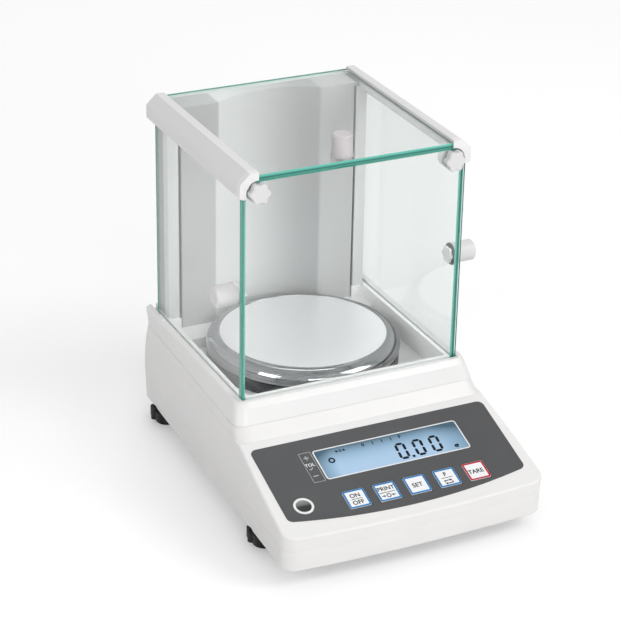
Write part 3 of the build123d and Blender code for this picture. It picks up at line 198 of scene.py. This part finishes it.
def edge_glass(name, axis, low, high):
    """Cut edge of a pane, green with a darker line inside the thickness."""
    made = Shader(name, (0.03, 0.3, 0.23), 0.12, Coat_Weight=0.6, Coat_Roughness=0.05)
    stops = [
        (0.0, (0.045, 0.34, 0.26)),
        (0.28, (0.03, 0.27, 0.2)),
        (0.42, (0.004, 0.11, 0.085)),
        (0.56, (0.02, 0.25, 0.19)),
        (0.75, (0.09, 0.46, 0.37)),
        (1.0, (0.14, 0.56, 0.46)),
    ]
    tone = made.ramp(made.along(axis, low, high), stops)
    made.link(tone, made.bsdf.inputs["Base Color"])
    made.grain(400, 0.02, 0.3, detail=3.0)
    return made.mat


def ink(name, color, mottle_scale, rough=0.55, level=0.2, mottle=0.03):
    """Matt printing ink."""
    return Shader(name, color, rough, Specular_IOR_Level=level).mottle(mottle, mottle_scale).mat


white_plastic = Shader("white_plastic", (0.80, 0.79, 0.785), 0.36, Specular_IOR_Level=0.5)
white_plastic.mottle(0.012, 35).wear(0.05, 60).grain(2200, 0.012, 0.35)
tray_plastic = Shader("tray_plastic", (0.82, 0.815, 0.81), 0.34)
tray_plastic.mottle(0.012, 35).wear(0.05, 60).grain(2200, 0.012, 0.3)
wall_painted_shading = Shader("wall_painted_shading", (0.50, 0.50, 0.503), 0.42)
# Painted light and shade: this ramp lightens the left side of the recess and darkens its right side and the
# flat parts beside it
wall_shading_stops = [(place_x, (tone, tone, tone * 1.006)) for place_x, tone in WALL_PAINTED_SHADING]
wall_painted_shading.link(
    wall_painted_shading.ramp(wall_painted_shading.along((1, 0, 0), -WALL_HALF, WALL_HALF), wall_shading_stops),
    wall_painted_shading.bsdf.inputs["Base Color"],
)
wall_painted_shading.wear(0.05, 50).grain(2000, 0.012, 0.35)
cover_plastic = Shader("cover_plastic", (0.33, 0.332, 0.335), 0.42)
cover_plastic.mottle(0.02, 25).wear(0.05, 50).grain(2000, 0.012, 0.35)
post_metal = Shader("post_metal", (0.62, 0.62, 0.625), 0.34, 0.25)
post_metal.wear(0.05, 60).grain(900, 0.01, 0.3, stretch=(1, 1, 0.03))
rail_paint = Shader("rail_paint", (0.76, 0.755, 0.755), 0.32)
rail_paint.mottle(0.01, 40).wear(0.05, 70).grain(1800, 0.01, 0.3)
knob_plastic = Shader("knob_plastic", (0.72, 0.71, 0.712), 0.38)
knob_plastic.mottle(0.015, 60).wear(0.06, 90).grain(2600, 0.012, 0.35)
top_knob_plastic = Shader("top_knob_plastic", (0.60, 0.57, 0.585), 0.4)
top_knob_plastic.mottle(0.02, 60).wear(0.06, 90).grain(2600, 0.012, 0.35)
film = Shader("panel_film", (0.080, 0.081, 0.084), 0.5, Specular_IOR_Level=0.35)
film.mottle(0.03, 60).wear(0.05, 120).grain(3500, 0.01, 0.4)
key_white = Shader("key_white", (0.86, 0.86, 0.87), 0.4)
key_white.mottle(0.01, 120).wear(0.05, 180).grain(3000, 0.008, 0.3)
print_white = ink("print_white", (0.80, 0.80, 0.80), 400, rough=0.5, level=0.5)
print_grey = ink("print_grey", (0.42, 0.43, 0.44), 400, rough=0.5, level=0.5)
print_black = ink("print_black", (0.012, 0.012, 0.016), 400, rough=0.6, mottle=0.05)
print_blue = ink("print_blue", (0.004, 0.19, 0.50), 300)
print_red = ink("print_red", (0.50, 0.003, 0.03), 300)
segment_ink = ink("segment_ink", (0.004, 0.006, 0.012), 400, rough=0.6, level=0.15, mottle=0.05)
satin_steel = Shader("satin_steel", (0.92, 0.92, 0.93), 0.36, 0.6)
satin_steel.wear(0.05, 25).grain(2600, 0.006, 0.3)
chrome = Shader("chrome", (0.48, 0.485, 0.50), 0.07, 1.0)
chrome.wear(0.02, 40).grain(300, 0.004, 0.15)
dark_ring = Shader("dark_ring", (0.03, 0.031, 0.033), 0.35)
dark_ring.wear(0.06, 60).grain(1500, 0.02, 0.4)
black_plastic = Shader("black_plastic", (0.011, 0.011, 0.012), 0.38)
black_plastic.wear(0.08, 120).grain(1800, 0.02, 0.45)
pad_rubber = Shader("pad_rubber", (0.017, 0.017, 0.017), 0.72)
pad_rubber.wear(0.08, 90).grain(1300, 0.03, 0.6)
board_green = Shader("board_green", (0.01, 0.11, 0.05), 0.35).wear(0.06, 60).mottle(0.2, 260)
machined = Shader("machined", (0.66, 0.66, 0.67), 0.32, 1.0)
machined.wear(0.06, 60).grain(900, 0.01, 0.4, stretch=(0.05, 1, 1))
plain_steel = Shader("plain_steel", (0.5, 0.5, 0.51), 0.3, 1.0)
plain_steel.wear(0.08, 300).grain(1500, 0.01, 0.4)
port_metal = Shader("port_metal", (0.4, 0.4, 0.41), 0.33, 0.9)
port_metal.wear(0.08, 200).grain(1200, 0.012, 0.4)
ring_white = Shader("ring_white", (0.82, 0.82, 0.82), 0.3).wear(0.04, 120)
vial_liquid = Shader("vial_liquid", (0.05, 0.05, 0.052), 0.12, Coat_Weight=0.6, Coat_Roughness=0.03)
vial_middle = PANEL_START + LEVEL_S
vial_up = vial_liquid.along(tuple(PANEL_UP), vial_middle - LEVEL_SHADE_HALF, vial_middle + LEVEL_SHADE_HALF)
# Painted shade and highlight: the vial is darkest just below its middle and lightest towards its top end
vial_shading_stops = [
    (0.0, (0.09, 0.09, 0.092)),
    (0.18, (0.012, 0.012, 0.013)),
    (0.5, (0.02, 0.02, 0.021)),
    (0.62, (0.14, 0.14, 0.142)),
    (1.0, (0.33, 0.33, 0.335)),
]
vial_liquid.link(vial_liquid.ramp(vial_up, vial_shading_stops), vial_liquid.bsdf.inputs["Base Color"])
pane_glass = clear_glass("pane_glass", (0.945, 0.968, 0.960))

# Painted shade: the display is darker towards its top edge, where its bezel shades it, and towards its two
# ends
lcd = Shader(
    "lcd_glass", (0.38, 0.55, 0.72), 0.3, Specular_IOR_Level=0.3, Coat_Weight=0.25, Coat_Roughness=0.03
)
down = lcd.along(tuple(PANEL_UP), PANEL_START + DISPLAY_S[0], PANEL_START + DISPLAY_S[1])
across = lcd.along((1, 0, 0), *DISPLAY_X)
from_left = lcd.math("SUBTRACT", 1.0, lcd.math("MULTIPLY", across, 9.0), True)
from_right = lcd.math("SUBTRACT", lcd.math("MULTIPLY", across, 5.0), 4.0, True)
end_shade = lcd.math("ADD", lcd.math("MULTIPLY", from_left, 0.55), lcd.math("MULTIPLY", from_right, 0.5))
shade = lcd.math("ADD", lcd.math("POWER", down, 3.2), end_shade, True)
lcd_shade_stops = [(0.0, (0.40, 0.57, 0.76)), (0.35, (0.25, 0.40, 0.55)), (1.0, (0.055, 0.115, 0.165))]
lcd.link(lcd.ramp(shade, lcd_shade_stops), lcd.bsdf.inputs["Base Color"])

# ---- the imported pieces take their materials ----

FINISH = {
    "lower_housing": white_plastic,
    "upper_housing": white_plastic,
    "shield_frame": tray_plastic,
    "back_wall": wall_painted_shading,
    "column_top": wall_painted_shading,
    "column_cover": cover_plastic,
    "rear_bar": tray_plastic,
    "panel_overlay": film,
    "display_window": lcd,
    "lcd_module": lcd,
    "level_holder": ring_white,
    "level_vial": vial_liquid,
    "panel_board": board_green,
    "main_board": board_green,
    "weighing_pan": satin_steel,
    "pan_rim": chrome,
    "pan_ring": dark_ring,
    "pan_carrier": machined,
    "load_cell": machined,
    "load_cell_seat": machined,
    "carrier_bridge": machined,
    "overload_stop": plain_steel,
    "load_cell_screws": plain_steel,
    "housing_screws": plain_steel,
    "power_inlet": black_plastic,
    "serial_port": port_metal,
    "top_door_knob": top_knob_plastic,
    "top_knob_nut": top_knob_plastic,
}
for side in ("left", "right"):
    FINISH[f"{side}_rail"] = rail_paint
    FINISH[f"{side}_rail_cap"] = tray_plastic
    FINISH[f"{side}_post"] = post_metal
    for piece in ("clamp_knob", "door_knob", "knob_nut"):
        FINISH[f"{side}_{piece}"] = knob_plastic
    for end in ("front", "rear"):
        FINISH[f"{end}_{side}_foot"] = black_plastic
        FINISH[f"{end}_{side}_pad"] = pad_rubber
for key in ("on_off", "print", "set", "function", "tare"):
    FINISH[f"key_{key}"] = key_white


def dress(node, *materials):
    """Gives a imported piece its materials; the first covers every face at first."""
    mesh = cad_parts[node].data
    mesh.materials.clear()
    for material in materials:
        mesh.materials.append(material)


for node, shader in FINISH.items():
    dress(node, shader.mat)

# Each pane has clear faces and green cut edges: (node, axis through the thickness, low, high in mm)
PANES = (
    ("front_glass", (0, 1, 0), -26.5, -23.5),
    ("left_door_glass", (1, 0, 0), -71.0, -68.0),
    ("right_door_glass", (-1, 0, 0), -71.0, -68.0),
    ("top_door_glass", (0, 0, 1), 210.3, 213.8),
)
for node, axis, low, high in PANES:
    dress(node, pane_glass, edge_glass(f"{node}_edge", axis, low, high))
    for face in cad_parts[node].data.polygons:
        face.material_index = 0 if abs(face.normal.dot(Vector(axis))) > 0.95 else 1

# ---- pieces made here ----


def place(obj, body, slot, material):
    obj.data.materials.append(material)
    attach(obj, body)
    return obj


def mesh_piece(name, bm, body, slot, material, smooth=False):
    bmesh.ops.recalc_face_normals(bm, faces=bm.faces)
    mesh = bpy.data.meshes.new(name)
    bm.to_mesh(mesh)
    bm.free()
    obj = bpy.data.objects.new(name, mesh)
    bpy.context.scene.collection.objects.link(obj)
    if smooth:
        mesh.shade_smooth()
        mesh.set_sharp_from_angle(angle=math.radians(32))
    return place(obj, body, slot, material)


def rounded(cx, cy, width, height, radius, steps=5):
    """Points of a rounded rectangle, anticlockwise."""
    points = []
    for turn in range(4):
        corner_x = cx + (width / 2 - radius) * (1 if turn in (0, 3) else -1)
        corner_y = cy + (height / 2 - radius) * (1 if turn in (0, 1) else -1)
        for step in range(steps + 1):
            angle = math.pi / 2 * (turn + step / steps)
            points.append((corner_x + radius * math.cos(angle), corner_y + radius * math.sin(angle)))
    return points


def ring_points(cx, cy, radius, count=40):
    return [
        (cx + radius * math.cos(2 * math.pi * i / count), cy + radius * math.sin(2 * math.pi * i / count))
        for i in range(count)
    ]


def printed(name, shapes, height, body, slot, material, thick=0.03):
    """Thin print on the panel. A shape is one outline, or an outer and an inner one of equal length."""
    bm = bmesh.new()
    for shape in shapes:
        pair = isinstance(shape[0][0], tuple)
        outer = shape[0] if pair else shape
        count = len(outer)
        levels = (height, height + thick)
        rows = [[bm.verts.new(panel_point(x, s, h)) for x, s in outer] for h in levels]
        if pair:
            inner = [[bm.verts.new(panel_point(x, s, h)) for x, s in shape[1]] for h in levels]
            for i in range(count):
                j = (i + 1) % count
                bm.faces.new((rows[1][i], rows[1][j], inner[1][j], inner[1][i]))
                bm.faces.new((rows[0][i], inner[0][i], inner[0][j], rows[0][j]))
                bm.faces.new((rows[0][i], rows[0][j], rows[1][j], rows[1][i]))
                bm.faces.new((inner[0][i], inner[1][i], inner[1][j], inner[0][j]))
        else:
            bm.faces.new(rows[1])
            bm.faces.new(rows[0][::-1])
            for i in range(count):
                j = (i + 1) % count
                bm.faces.new((rows[0][i], rows[0][j], rows[1][j], rows[1][i]))
    return mesh_piece(name, bm, body, slot, material)


def bar(x0, s0, x1, s1, width):
    """Outline of a straight stroke between two points."""
    along = Vector((x1 - x0, s1 - s0)).normalized() * (width / 2)
    side = Vector((-along.y, along.x))
    start, end = Vector((x0, s0)), Vector((x1, s1))
    return [tuple(start - side), tuple(end - side), tuple(end + side), tuple(start + side)]


def legend(name, text, x, s, size, height, body, slot, material, weight=0.0):
    """Lettering that lies on the panel, centred on a point."""
    curve = bpy.data.curves.new(name, "FONT")
    curve.body = text
    curve.size = size * MM
    curve.align_x = "CENTER"
    curve.align_y = "CENTER"
    curve.extrude = 0.012 * MM
    curve.offset = weight * MM
    obj = bpy.data.objects.new(name, curve)
    bpy.context.scene.collection.objects.link(obj)
    basis = Matrix((Vector((1, 0, 0)), PANEL_UP, PANEL_OUT)).transposed().to_4x4()
    obj.matrix_world = Matrix.Translation(panel_point(x, s, height + 0.014)) @ basis
    return place(obj, body, slot, material)


# Display: white outline, seven-segment figures and the small marks round them
ON_PANEL = ("housing", "key_plastic")
ON_DISPLAY = ("housing", "lcd_module", segment_ink)
display_middle = (sum(DISPLAY_X) / 2, sum(DISPLAY_S) / 2)
display_size = (DISPLAY_X[1] - DISPLAY_X[0], DISPLAY_S[1] - DISPLAY_S[0])
outline_pair = tuple(
    rounded(*display_middle, display_size[0] + grow, display_size[1] + grow, radius)
    for grow, radius in ((1.3, 2.0), (-0.2, 1.3))
)
printed("display_outline", [outline_pair], OVERLAY_PRINT_H, *ON_PANEL, print_white)

SEGMENT_W = 1.7
SEGMENT_GAP = 0.22
SLANT = 0.05


def figure_shapes(left, top, width, height, lit):
    """Outlines of the lit segments of one figure, in the order a to g."""
    half = SEGMENT_W / 2
    x0, x1 = left + half, left + width - half
    s0, s1 = top - height + half, top - half
    middle = (s0 + s1) / 2
    ends = {
        "a": (x0, s1, x1, s1), "b": (x1, s1, x1, middle), "c": (x1, middle, x1, s0), "d": (x0, s0, x1, s0),
        "e": (x0, middle, x0, s0), "f": (x0, s1, x0, middle), "g": (x0, middle, x1, middle),
    }
    shapes = []
    for name in lit:
        ax, ay, bx, by = ends[name]
        direction = Vector((bx - ax, by - ay)).normalized()
        side = Vector((-direction.y, direction.x)) * half
        a = Vector((ax, ay)) + direction * SEGMENT_GAP
        b = Vector((bx, by)) - direction * SEGMENT_GAP
        tip = direction * half
        loop = [a, a + tip - side, b - tip - side, b, b - tip + side, a + tip + side]
        shapes.append([(p.x + (p.y - s0) * SLANT, p.y) for p in loop])
    return shapes


FIGURE_LEFTS = (7.2, 18.4, 29.3)
FIGURE_TOP = -18.4
FIGURE_SIZE = (6.7, 12.9)
figures = []
for left in FIGURE_LEFTS:
    figures += figure_shapes(left, FIGURE_TOP, *FIGURE_SIZE, "abcdef")
figures.append(rounded(15.9, -30.5, 1.8, 1.6, 0.3, 3))
printed("display_figures", figures, OVERLAY_PRINT_H, *ON_DISPLAY)
legend("display_unit", "g", 44.6, -29.9, 6.0, OVERLAY_H, *ON_DISPLAY, weight=0.3)


def zero_between_arrows(x, s, radii, tip_gap, head, stroke):
    """Small zero with an arrow pointing at it from each side.

    head is (length, half width); stroke is (start, end), measured from the tip.
    """
    shapes = [(ring_points(x, s, radii[0]), ring_points(x, s, radii[1]))]
    for turn in (-1, 1):
        tip_x = x + turn * tip_gap
        head_x = tip_x + turn * head[0]
        shapes.append(bar(tip_x + turn * stroke[0], s, tip_x + turn * stroke[1], s, 0.5))
        shapes.append([(tip_x, s), (head_x, s + head[1]), (head_x, s - head[1])])
    return shapes


marks = [(ring_points(-32.9, -20.2, 2.1), ring_points(-32.9, -20.2, 1.05))]
marks += zero_between_arrows(-25.0, -14.4, (0.95, 0.45), 1.2, (1.5, 1.0), (2.2, 0.9))
for tick_x in (-3.6, 2.4, 8.4):
    marks.append(bar(tick_x, -12.6, tick_x, -15.3, 0.55))
printed("display_marks", marks, OVERLAY_PRINT_H, *ON_DISPLAY)
legend("display_scale_start", "0", -9.9, -14.0, 3.4, OVERLAY_H, *ON_DISPLAY, weight=0.1)
legend("display_scale_end", "F", 14.3, -13.8, 3.6, OVERLAY_H, *ON_DISPLAY, weight=0.12)

# Tolerance box beside the display
BOX_MIDDLE = (-46.45, -22.0)
signs = [
    (rounded(*BOX_MIDDLE, 7.5, 23.5, 0.35, 2), rounded(*BOX_MIDDLE, 6.9, 22.9, 0.15, 2)),
    bar(-48.4, -14.5, -45.2, -14.5, 0.7),
    bar(-46.8, -12.9, -46.8, -16.1, 0.7),
    bar(-48.6, -28.9, -45.3, -28.9, 0.75),
    bar(-48.5, -23.0, -47.6, -24.0, 0.6),
    bar(-47.75, -24.0, -46.1, -22.3, 0.6),
]
printed("tolerance_box", signs, OVERLAY_PRINT_H, *ON_PANEL, print_grey)
legend("tolerance_word", "TOL", -46.9, -20.2, 3.3, OVERLAY_H, *ON_PANEL, print_white, weight=0.05)

# Keys: coloured border and black legend on each cap
KEY_S = -51.6
KEY_FIRST_X = -31.5
KEY_PITCH = 19.5
KEYS = (
    ("on_off", print_blue),
    ("print", print_blue),
    ("set", print_blue),
    ("function", print_blue),
    ("tare", print_red),
)
for index, (name, border) in enumerate(KEYS):
    key_x = KEY_FIRST_X + KEY_PITCH * index
    band = (rounded(key_x, KEY_S, 13.3, 13.1, 0.95), rounded(key_x, KEY_S, 11.2, 11.0, 0.35))
    printed(f"{name}_border", [band], KEY_PRINT_H, f"{name}_key", "key_plastic", border)

INK = ("key_plastic", print_black)
BOLD = 0.09
legend("on_word", "ON", -31.7, -49.4, 4.1, KEY_H, "on_off_key", *INK, weight=BOLD)
legend("off_word", "OFF", -31.7, -54.7, 4.1, KEY_H, "on_off_key", *INK, weight=BOLD)
printed("on_off_line", [bar(-35.0, -51.9, -28.1, -51.9, 0.4)], KEY_PRINT_H, "on_off_key", *INK)
legend("print_word", "PRINT", -12.0, -49.4, 4.0, KEY_H, "print_key", *INK, weight=BOLD)
zero_marks = [bar(-17.1, -52.2, -6.9, -52.2, 0.4)]
zero_marks += zero_between_arrows(-12.3, -54.7, (1.5, 0.95), 1.9, (1.2, 1.0), (2.5, 0.5))
printed("zero_mark", zero_marks, KEY_PRINT_H, "print_key", *INK)
legend("set_word", "SET", 7.4, -52.1, 4.3, KEY_H, "set_key", *INK, weight=BOLD)
legend("function_word", "F", 26.7, -49.2, 4.2, KEY_H, "function_key", *INK, weight=BOLD)
swap_x, swap_s = 26.7, -54.9
swap = [bar(23.4, -51.7, 30.4, -51.7, 0.4)]
for turn in (-1, 1):
    tail_x = swap_x - turn * 2.3
    tip_x = swap_x + turn * 2.7
    line_s = swap_s + turn * 1.1
    swap.append(bar(tail_x, line_s, swap_x + turn * 1.3, line_s, 0.6))
    swap.append(bar(tail_x, swap_s + turn * 1.4, tail_x, swap_s - turn * 0.1, 0.6))
    head_x = tip_x - turn * 1.5
    swap.append([(tip_x, line_s), (head_x, swap_s + turn * 2.0), (head_x, swap_s + turn * 0.2)])
printed("swap_mark", swap, KEY_PRINT_H, "function_key", *INK)
legend("tare_word", "TARE", 46.0, -52.1, 4.2, KEY_H, "tare_key", *INK, weight=BOLD)


def turned(name, profile, centre, axis, body, slot, material, count=160):
    """Smooth turned piece from (radius, distance along the axis) points in mm."""
    axis = Vector(axis)
    first = Vector((0, 0, 1)) if abs(axis.z) < 0.5 else Vector((1, 0, 0))
    second = axis.cross(first)
    bm = bmesh.new()
    rings = []
    for radius, place_along in profile:
        ring = []
        for i in range(count):
            angle = 2 * math.pi * i / count
            spread = (first * math.cos(angle) + second * math.sin(angle)) * radius
            ring.append(bm.verts.new((Vector(centre) + spread + axis * place_along) * MM))
        rings.append(ring)
    for low, high in zip(rings, rings[1:] + rings[:1]):
        for i in range(count):
            j = (i + 1) % count
            bm.faces.new((low[i], low[j], high[j], high[i]))
    return mesh_piece(name, bm, body, slot, material, smooth=True)


def arc_points(centre, radii, start, end, steps):
    """Points of an arc after its first one; angles in degrees from the vertical."""
    angles = [math.radians(start + (end - start) * step / steps) for step in range(1, steps + 1)]
    return [(centre[0] + radii[0] * math.sin(a), centre[1] + radii[1] * math.cos(a)) for a in angles]


# Pan rim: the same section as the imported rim, turned finely enough for its highlights
PAN_Y = 39.0
PAN_TOP = 76.5
PAN_UNDERSIDE = 75.3
SEAT_BOTTOM = 74.1
SEAT_RADIUS = 47.4
DISC_RADIUS = 50.4
SHOULDER = 52.0
RIM_RADIUS = 59.0
RIM_INNER = 57.5
RIM_WIDEST_Z = 68.7
RIM_BOTTOM = 67.0
RIM_RISE = 7.7
BEAD_HEIGHT = 0.5
rim = [(SEAT_RADIUS, SEAT_BOTTOM), (SEAT_RADIUS, PAN_UNDERSIDE)]
rim += [(DISC_RADIUS, PAN_UNDERSIDE), (DISC_RADIUS, PAN_TOP)]
bead_radius = (SHOULDER - DISC_RADIUS) / 2
rim += arc_points((DISC_RADIUS + bead_radius, PAN_TOP), (bead_radius, BEAD_HEIGHT), -90, 90, 8)[:-1]
rim += [(SHOULDER, PAN_TOP - 0.05)]
rim += arc_points((SHOULDER, RIM_WIDEST_Z), (RIM_RADIUS - SHOULDER, RIM_RISE), 0, 90, 14)
rim += [(RIM_RADIUS - 0.4, RIM_BOTTOM + 0.3), (RIM_RADIUS - 0.75, RIM_BOTTOM), (RIM_INNER, RIM_BOTTOM)]
rim += [(RIM_INNER, RIM_WIDEST_Z), (SHOULDER, SEAT_BOTTOM)]
pan_rim = turned("pan_rim_turned", rim, (0, PAN_Y, 0), (0, 0, 1), "pan", "rim_chrome", chrome.mat, 256)
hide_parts("pan_rim")

# ---- stage, light and camera ----

FLOOR_HALF = 20
FLOOR_GLOW = 0.24


def stage_shader(name):
    """Pale paper that glows a little where the camera sees it, so that it comes out white."""
    mat = bpy.data.materials.new(name)
    mat.use_nodes = True
    tree = mat.node_tree
    tree.nodes.clear()
    out = tree.nodes.new("ShaderNodeOutputMaterial")
    add = tree.nodes.new("ShaderNodeAddShader")
    diffuse = tree.nodes.new("ShaderNodeBsdfDiffuse")
    diffuse.inputs["Color"].default_value = (0.80, 0.80, 0.80, 1)
    glow = tree.nodes.new("ShaderNodeEmission")
    glow.inputs["Color"].default_value = (1, 1, 1, 1)
    path, seen = seen_through(tree)
    tree.links.new(tree_math(tree, "MULTIPLY", seen, FLOOR_GLOW), glow.inputs["Strength"])
    tree.links.new(diffuse.outputs[0], add.inputs[0])
    tree.links.new(glow.outputs[0], add.inputs[1])
    tree.links.new(add.outputs[0], out.inputs["Surface"])
    return mat


floor_mesh = bpy.data.meshes.new("floor")
floor_corners = [(-1, -1), (1, -1), (1, 1), (-1, 1)]
floor_mesh.from_pydata([(FLOOR_HALF * x, FLOOR_HALF * y, 0) for x, y in floor_corners], [], [(0, 1, 2, 3)])
floor = bpy.data.objects.new("floor", floor_mesh)
floor_mesh.materials.append(stage_shader("floor_paper"))
bpy.context.scene.collection.objects.link(floor)

# Room light: grey bands by height for light and reflections, plain white behind the object
ROOM_STRENGTH = 0.60
ROOM_TONES = ((0.0, 0.6), (0.05, 0.12), (0.2, 0.25), (0.32, 1.15), (0.6, 1.0), (1.0, 0.85))
world = bpy.data.worlds.new("studio")
bpy.context.scene.world = world
world.use_nodes = True
sky = world.node_tree
sky.nodes.clear()
sky_out = sky.nodes.new("ShaderNodeOutputWorld")
sky_mix = sky.nodes.new("ShaderNodeMixShader")
sky_plain = sky.nodes.new("ShaderNodeBackground")
sky_plain.inputs["Color"].default_value = (1, 1, 1, 1)
sky_room = sky.nodes.new("ShaderNodeBackground")
sky_room.inputs["Strength"].default_value = ROOM_STRENGTH
sky_coords = sky.nodes.new("ShaderNodeTexCoord")
sky_parts = sky.nodes.new("ShaderNodeSeparateXYZ")
sky_ramp = sky.nodes.new("ShaderNodeValToRGB")
while len(sky_ramp.color_ramp.elements) < len(ROOM_TONES):
    sky_ramp.color_ramp.elements.new(0.5)
for element, (height, tone) in zip(sky_ramp.color_ramp.elements, ROOM_TONES):
    element.position = height
    element.color = (tone, tone, tone, 1)
sky.links.new(sky_coords.outputs["Generated"], sky_parts.inputs[0])
sky.links.new(sky_parts.outputs["Z"], sky_ramp.inputs[0])
sky.links.new(sky_ramp.outputs[0], sky_room.inputs["Color"])
sky_path, sky_seen = seen_through(sky)
sky_unmirrored = tree_math(sky, "LESS_THAN", sky_path["Glossy Depth"], 0.5)
sky.links.new(tree_math(sky, "MULTIPLY", sky_seen, sky_unmirrored), sky_mix.inputs[0])
sky.links.new(sky_room.outputs[0], sky_mix.inputs[1])
sky.links.new(sky_plain.outputs[0], sky_mix.inputs[2])
sky.links.new(sky_mix.outputs[0], sky_out.inputs["Surface"])

# Soft lamps: (name, place, aimed at, width, height, power)
LAMPS = (
    ("key_lamp", (1.1, -0.9, 1.35), (0.0, 0.0, 0.08), 0.9, 0.9, 11.0),
    ("front_lamp", (-0.1, -1.9, 0.7), (0.0, 0.0, 0.1), 1.2, 0.7, 11.0),
    ("left_lamp", (-1.6, -0.6, 0.9), (0.0, 0.0, 0.1), 0.8, 0.8, 6.5),
    ("back_lamp", (0.3, 1.2, 1.4), (0.0, 0.0, 0.1), 0.9, 0.6, 5.0),
)
for name, spot, aim, width, height, power in LAMPS:
    light = bpy.data.lights.new(name, "AREA")
    light.shape = "RECTANGLE"
    light.size = width
    light.size_y = height
    light.energy = power
    lamp = bpy.data.objects.new(name, light)
    lamp.location = spot
    lamp.rotation_euler = (Vector(spot) - Vector(aim)).to_track_quat("Z", "Y").to_euler()
    bpy.context.scene.collection.objects.link(lamp)

# Camera as solved from the straight edges of the photograph
AZIMUTH = math.radians(-26.035)
ELEVATION = math.radians(25.800)
ROLL = math.radians(1.083)
CAMERA_SPOT = Vector((-0.52145, -1.03632, 0.66755))
FOCAL_PIXELS = 2156.39
PHOTO_PIXELS = 620
SENSOR_WIDTH = 36.0
back = Vector((
    math.sin(AZIMUTH) * math.cos(ELEVATION), -math.cos(AZIMUTH) * math.cos(ELEVATION), math.sin(ELEVATION)
))
right = Vector((math.cos(AZIMUTH), math.sin(AZIMUTH), 0))
up = back.cross(right)
right, up = right * math.cos(ROLL) + up * math.sin(ROLL), up * math.cos(ROLL) - right * math.sin(ROLL)
lens = bpy.data.cameras.new("camera")
lens.sensor_width = SENSOR_WIDTH
lens.lens = FOCAL_PIXELS / PHOTO_PIXELS * SENSOR_WIDTH
lens.clip_start = 0.05
camera = bpy.data.objects.new("camera", lens)
camera.matrix_world = Matrix.Translation(CAMERA_SPOT) @ Matrix((right, up, back)).transposed().to_4x4()
bpy.context.scene.collection.objects.link(camera)
bpy.context.scene.camera = camera
bpy.context.scene.view_settings.view_transform = "Standard"
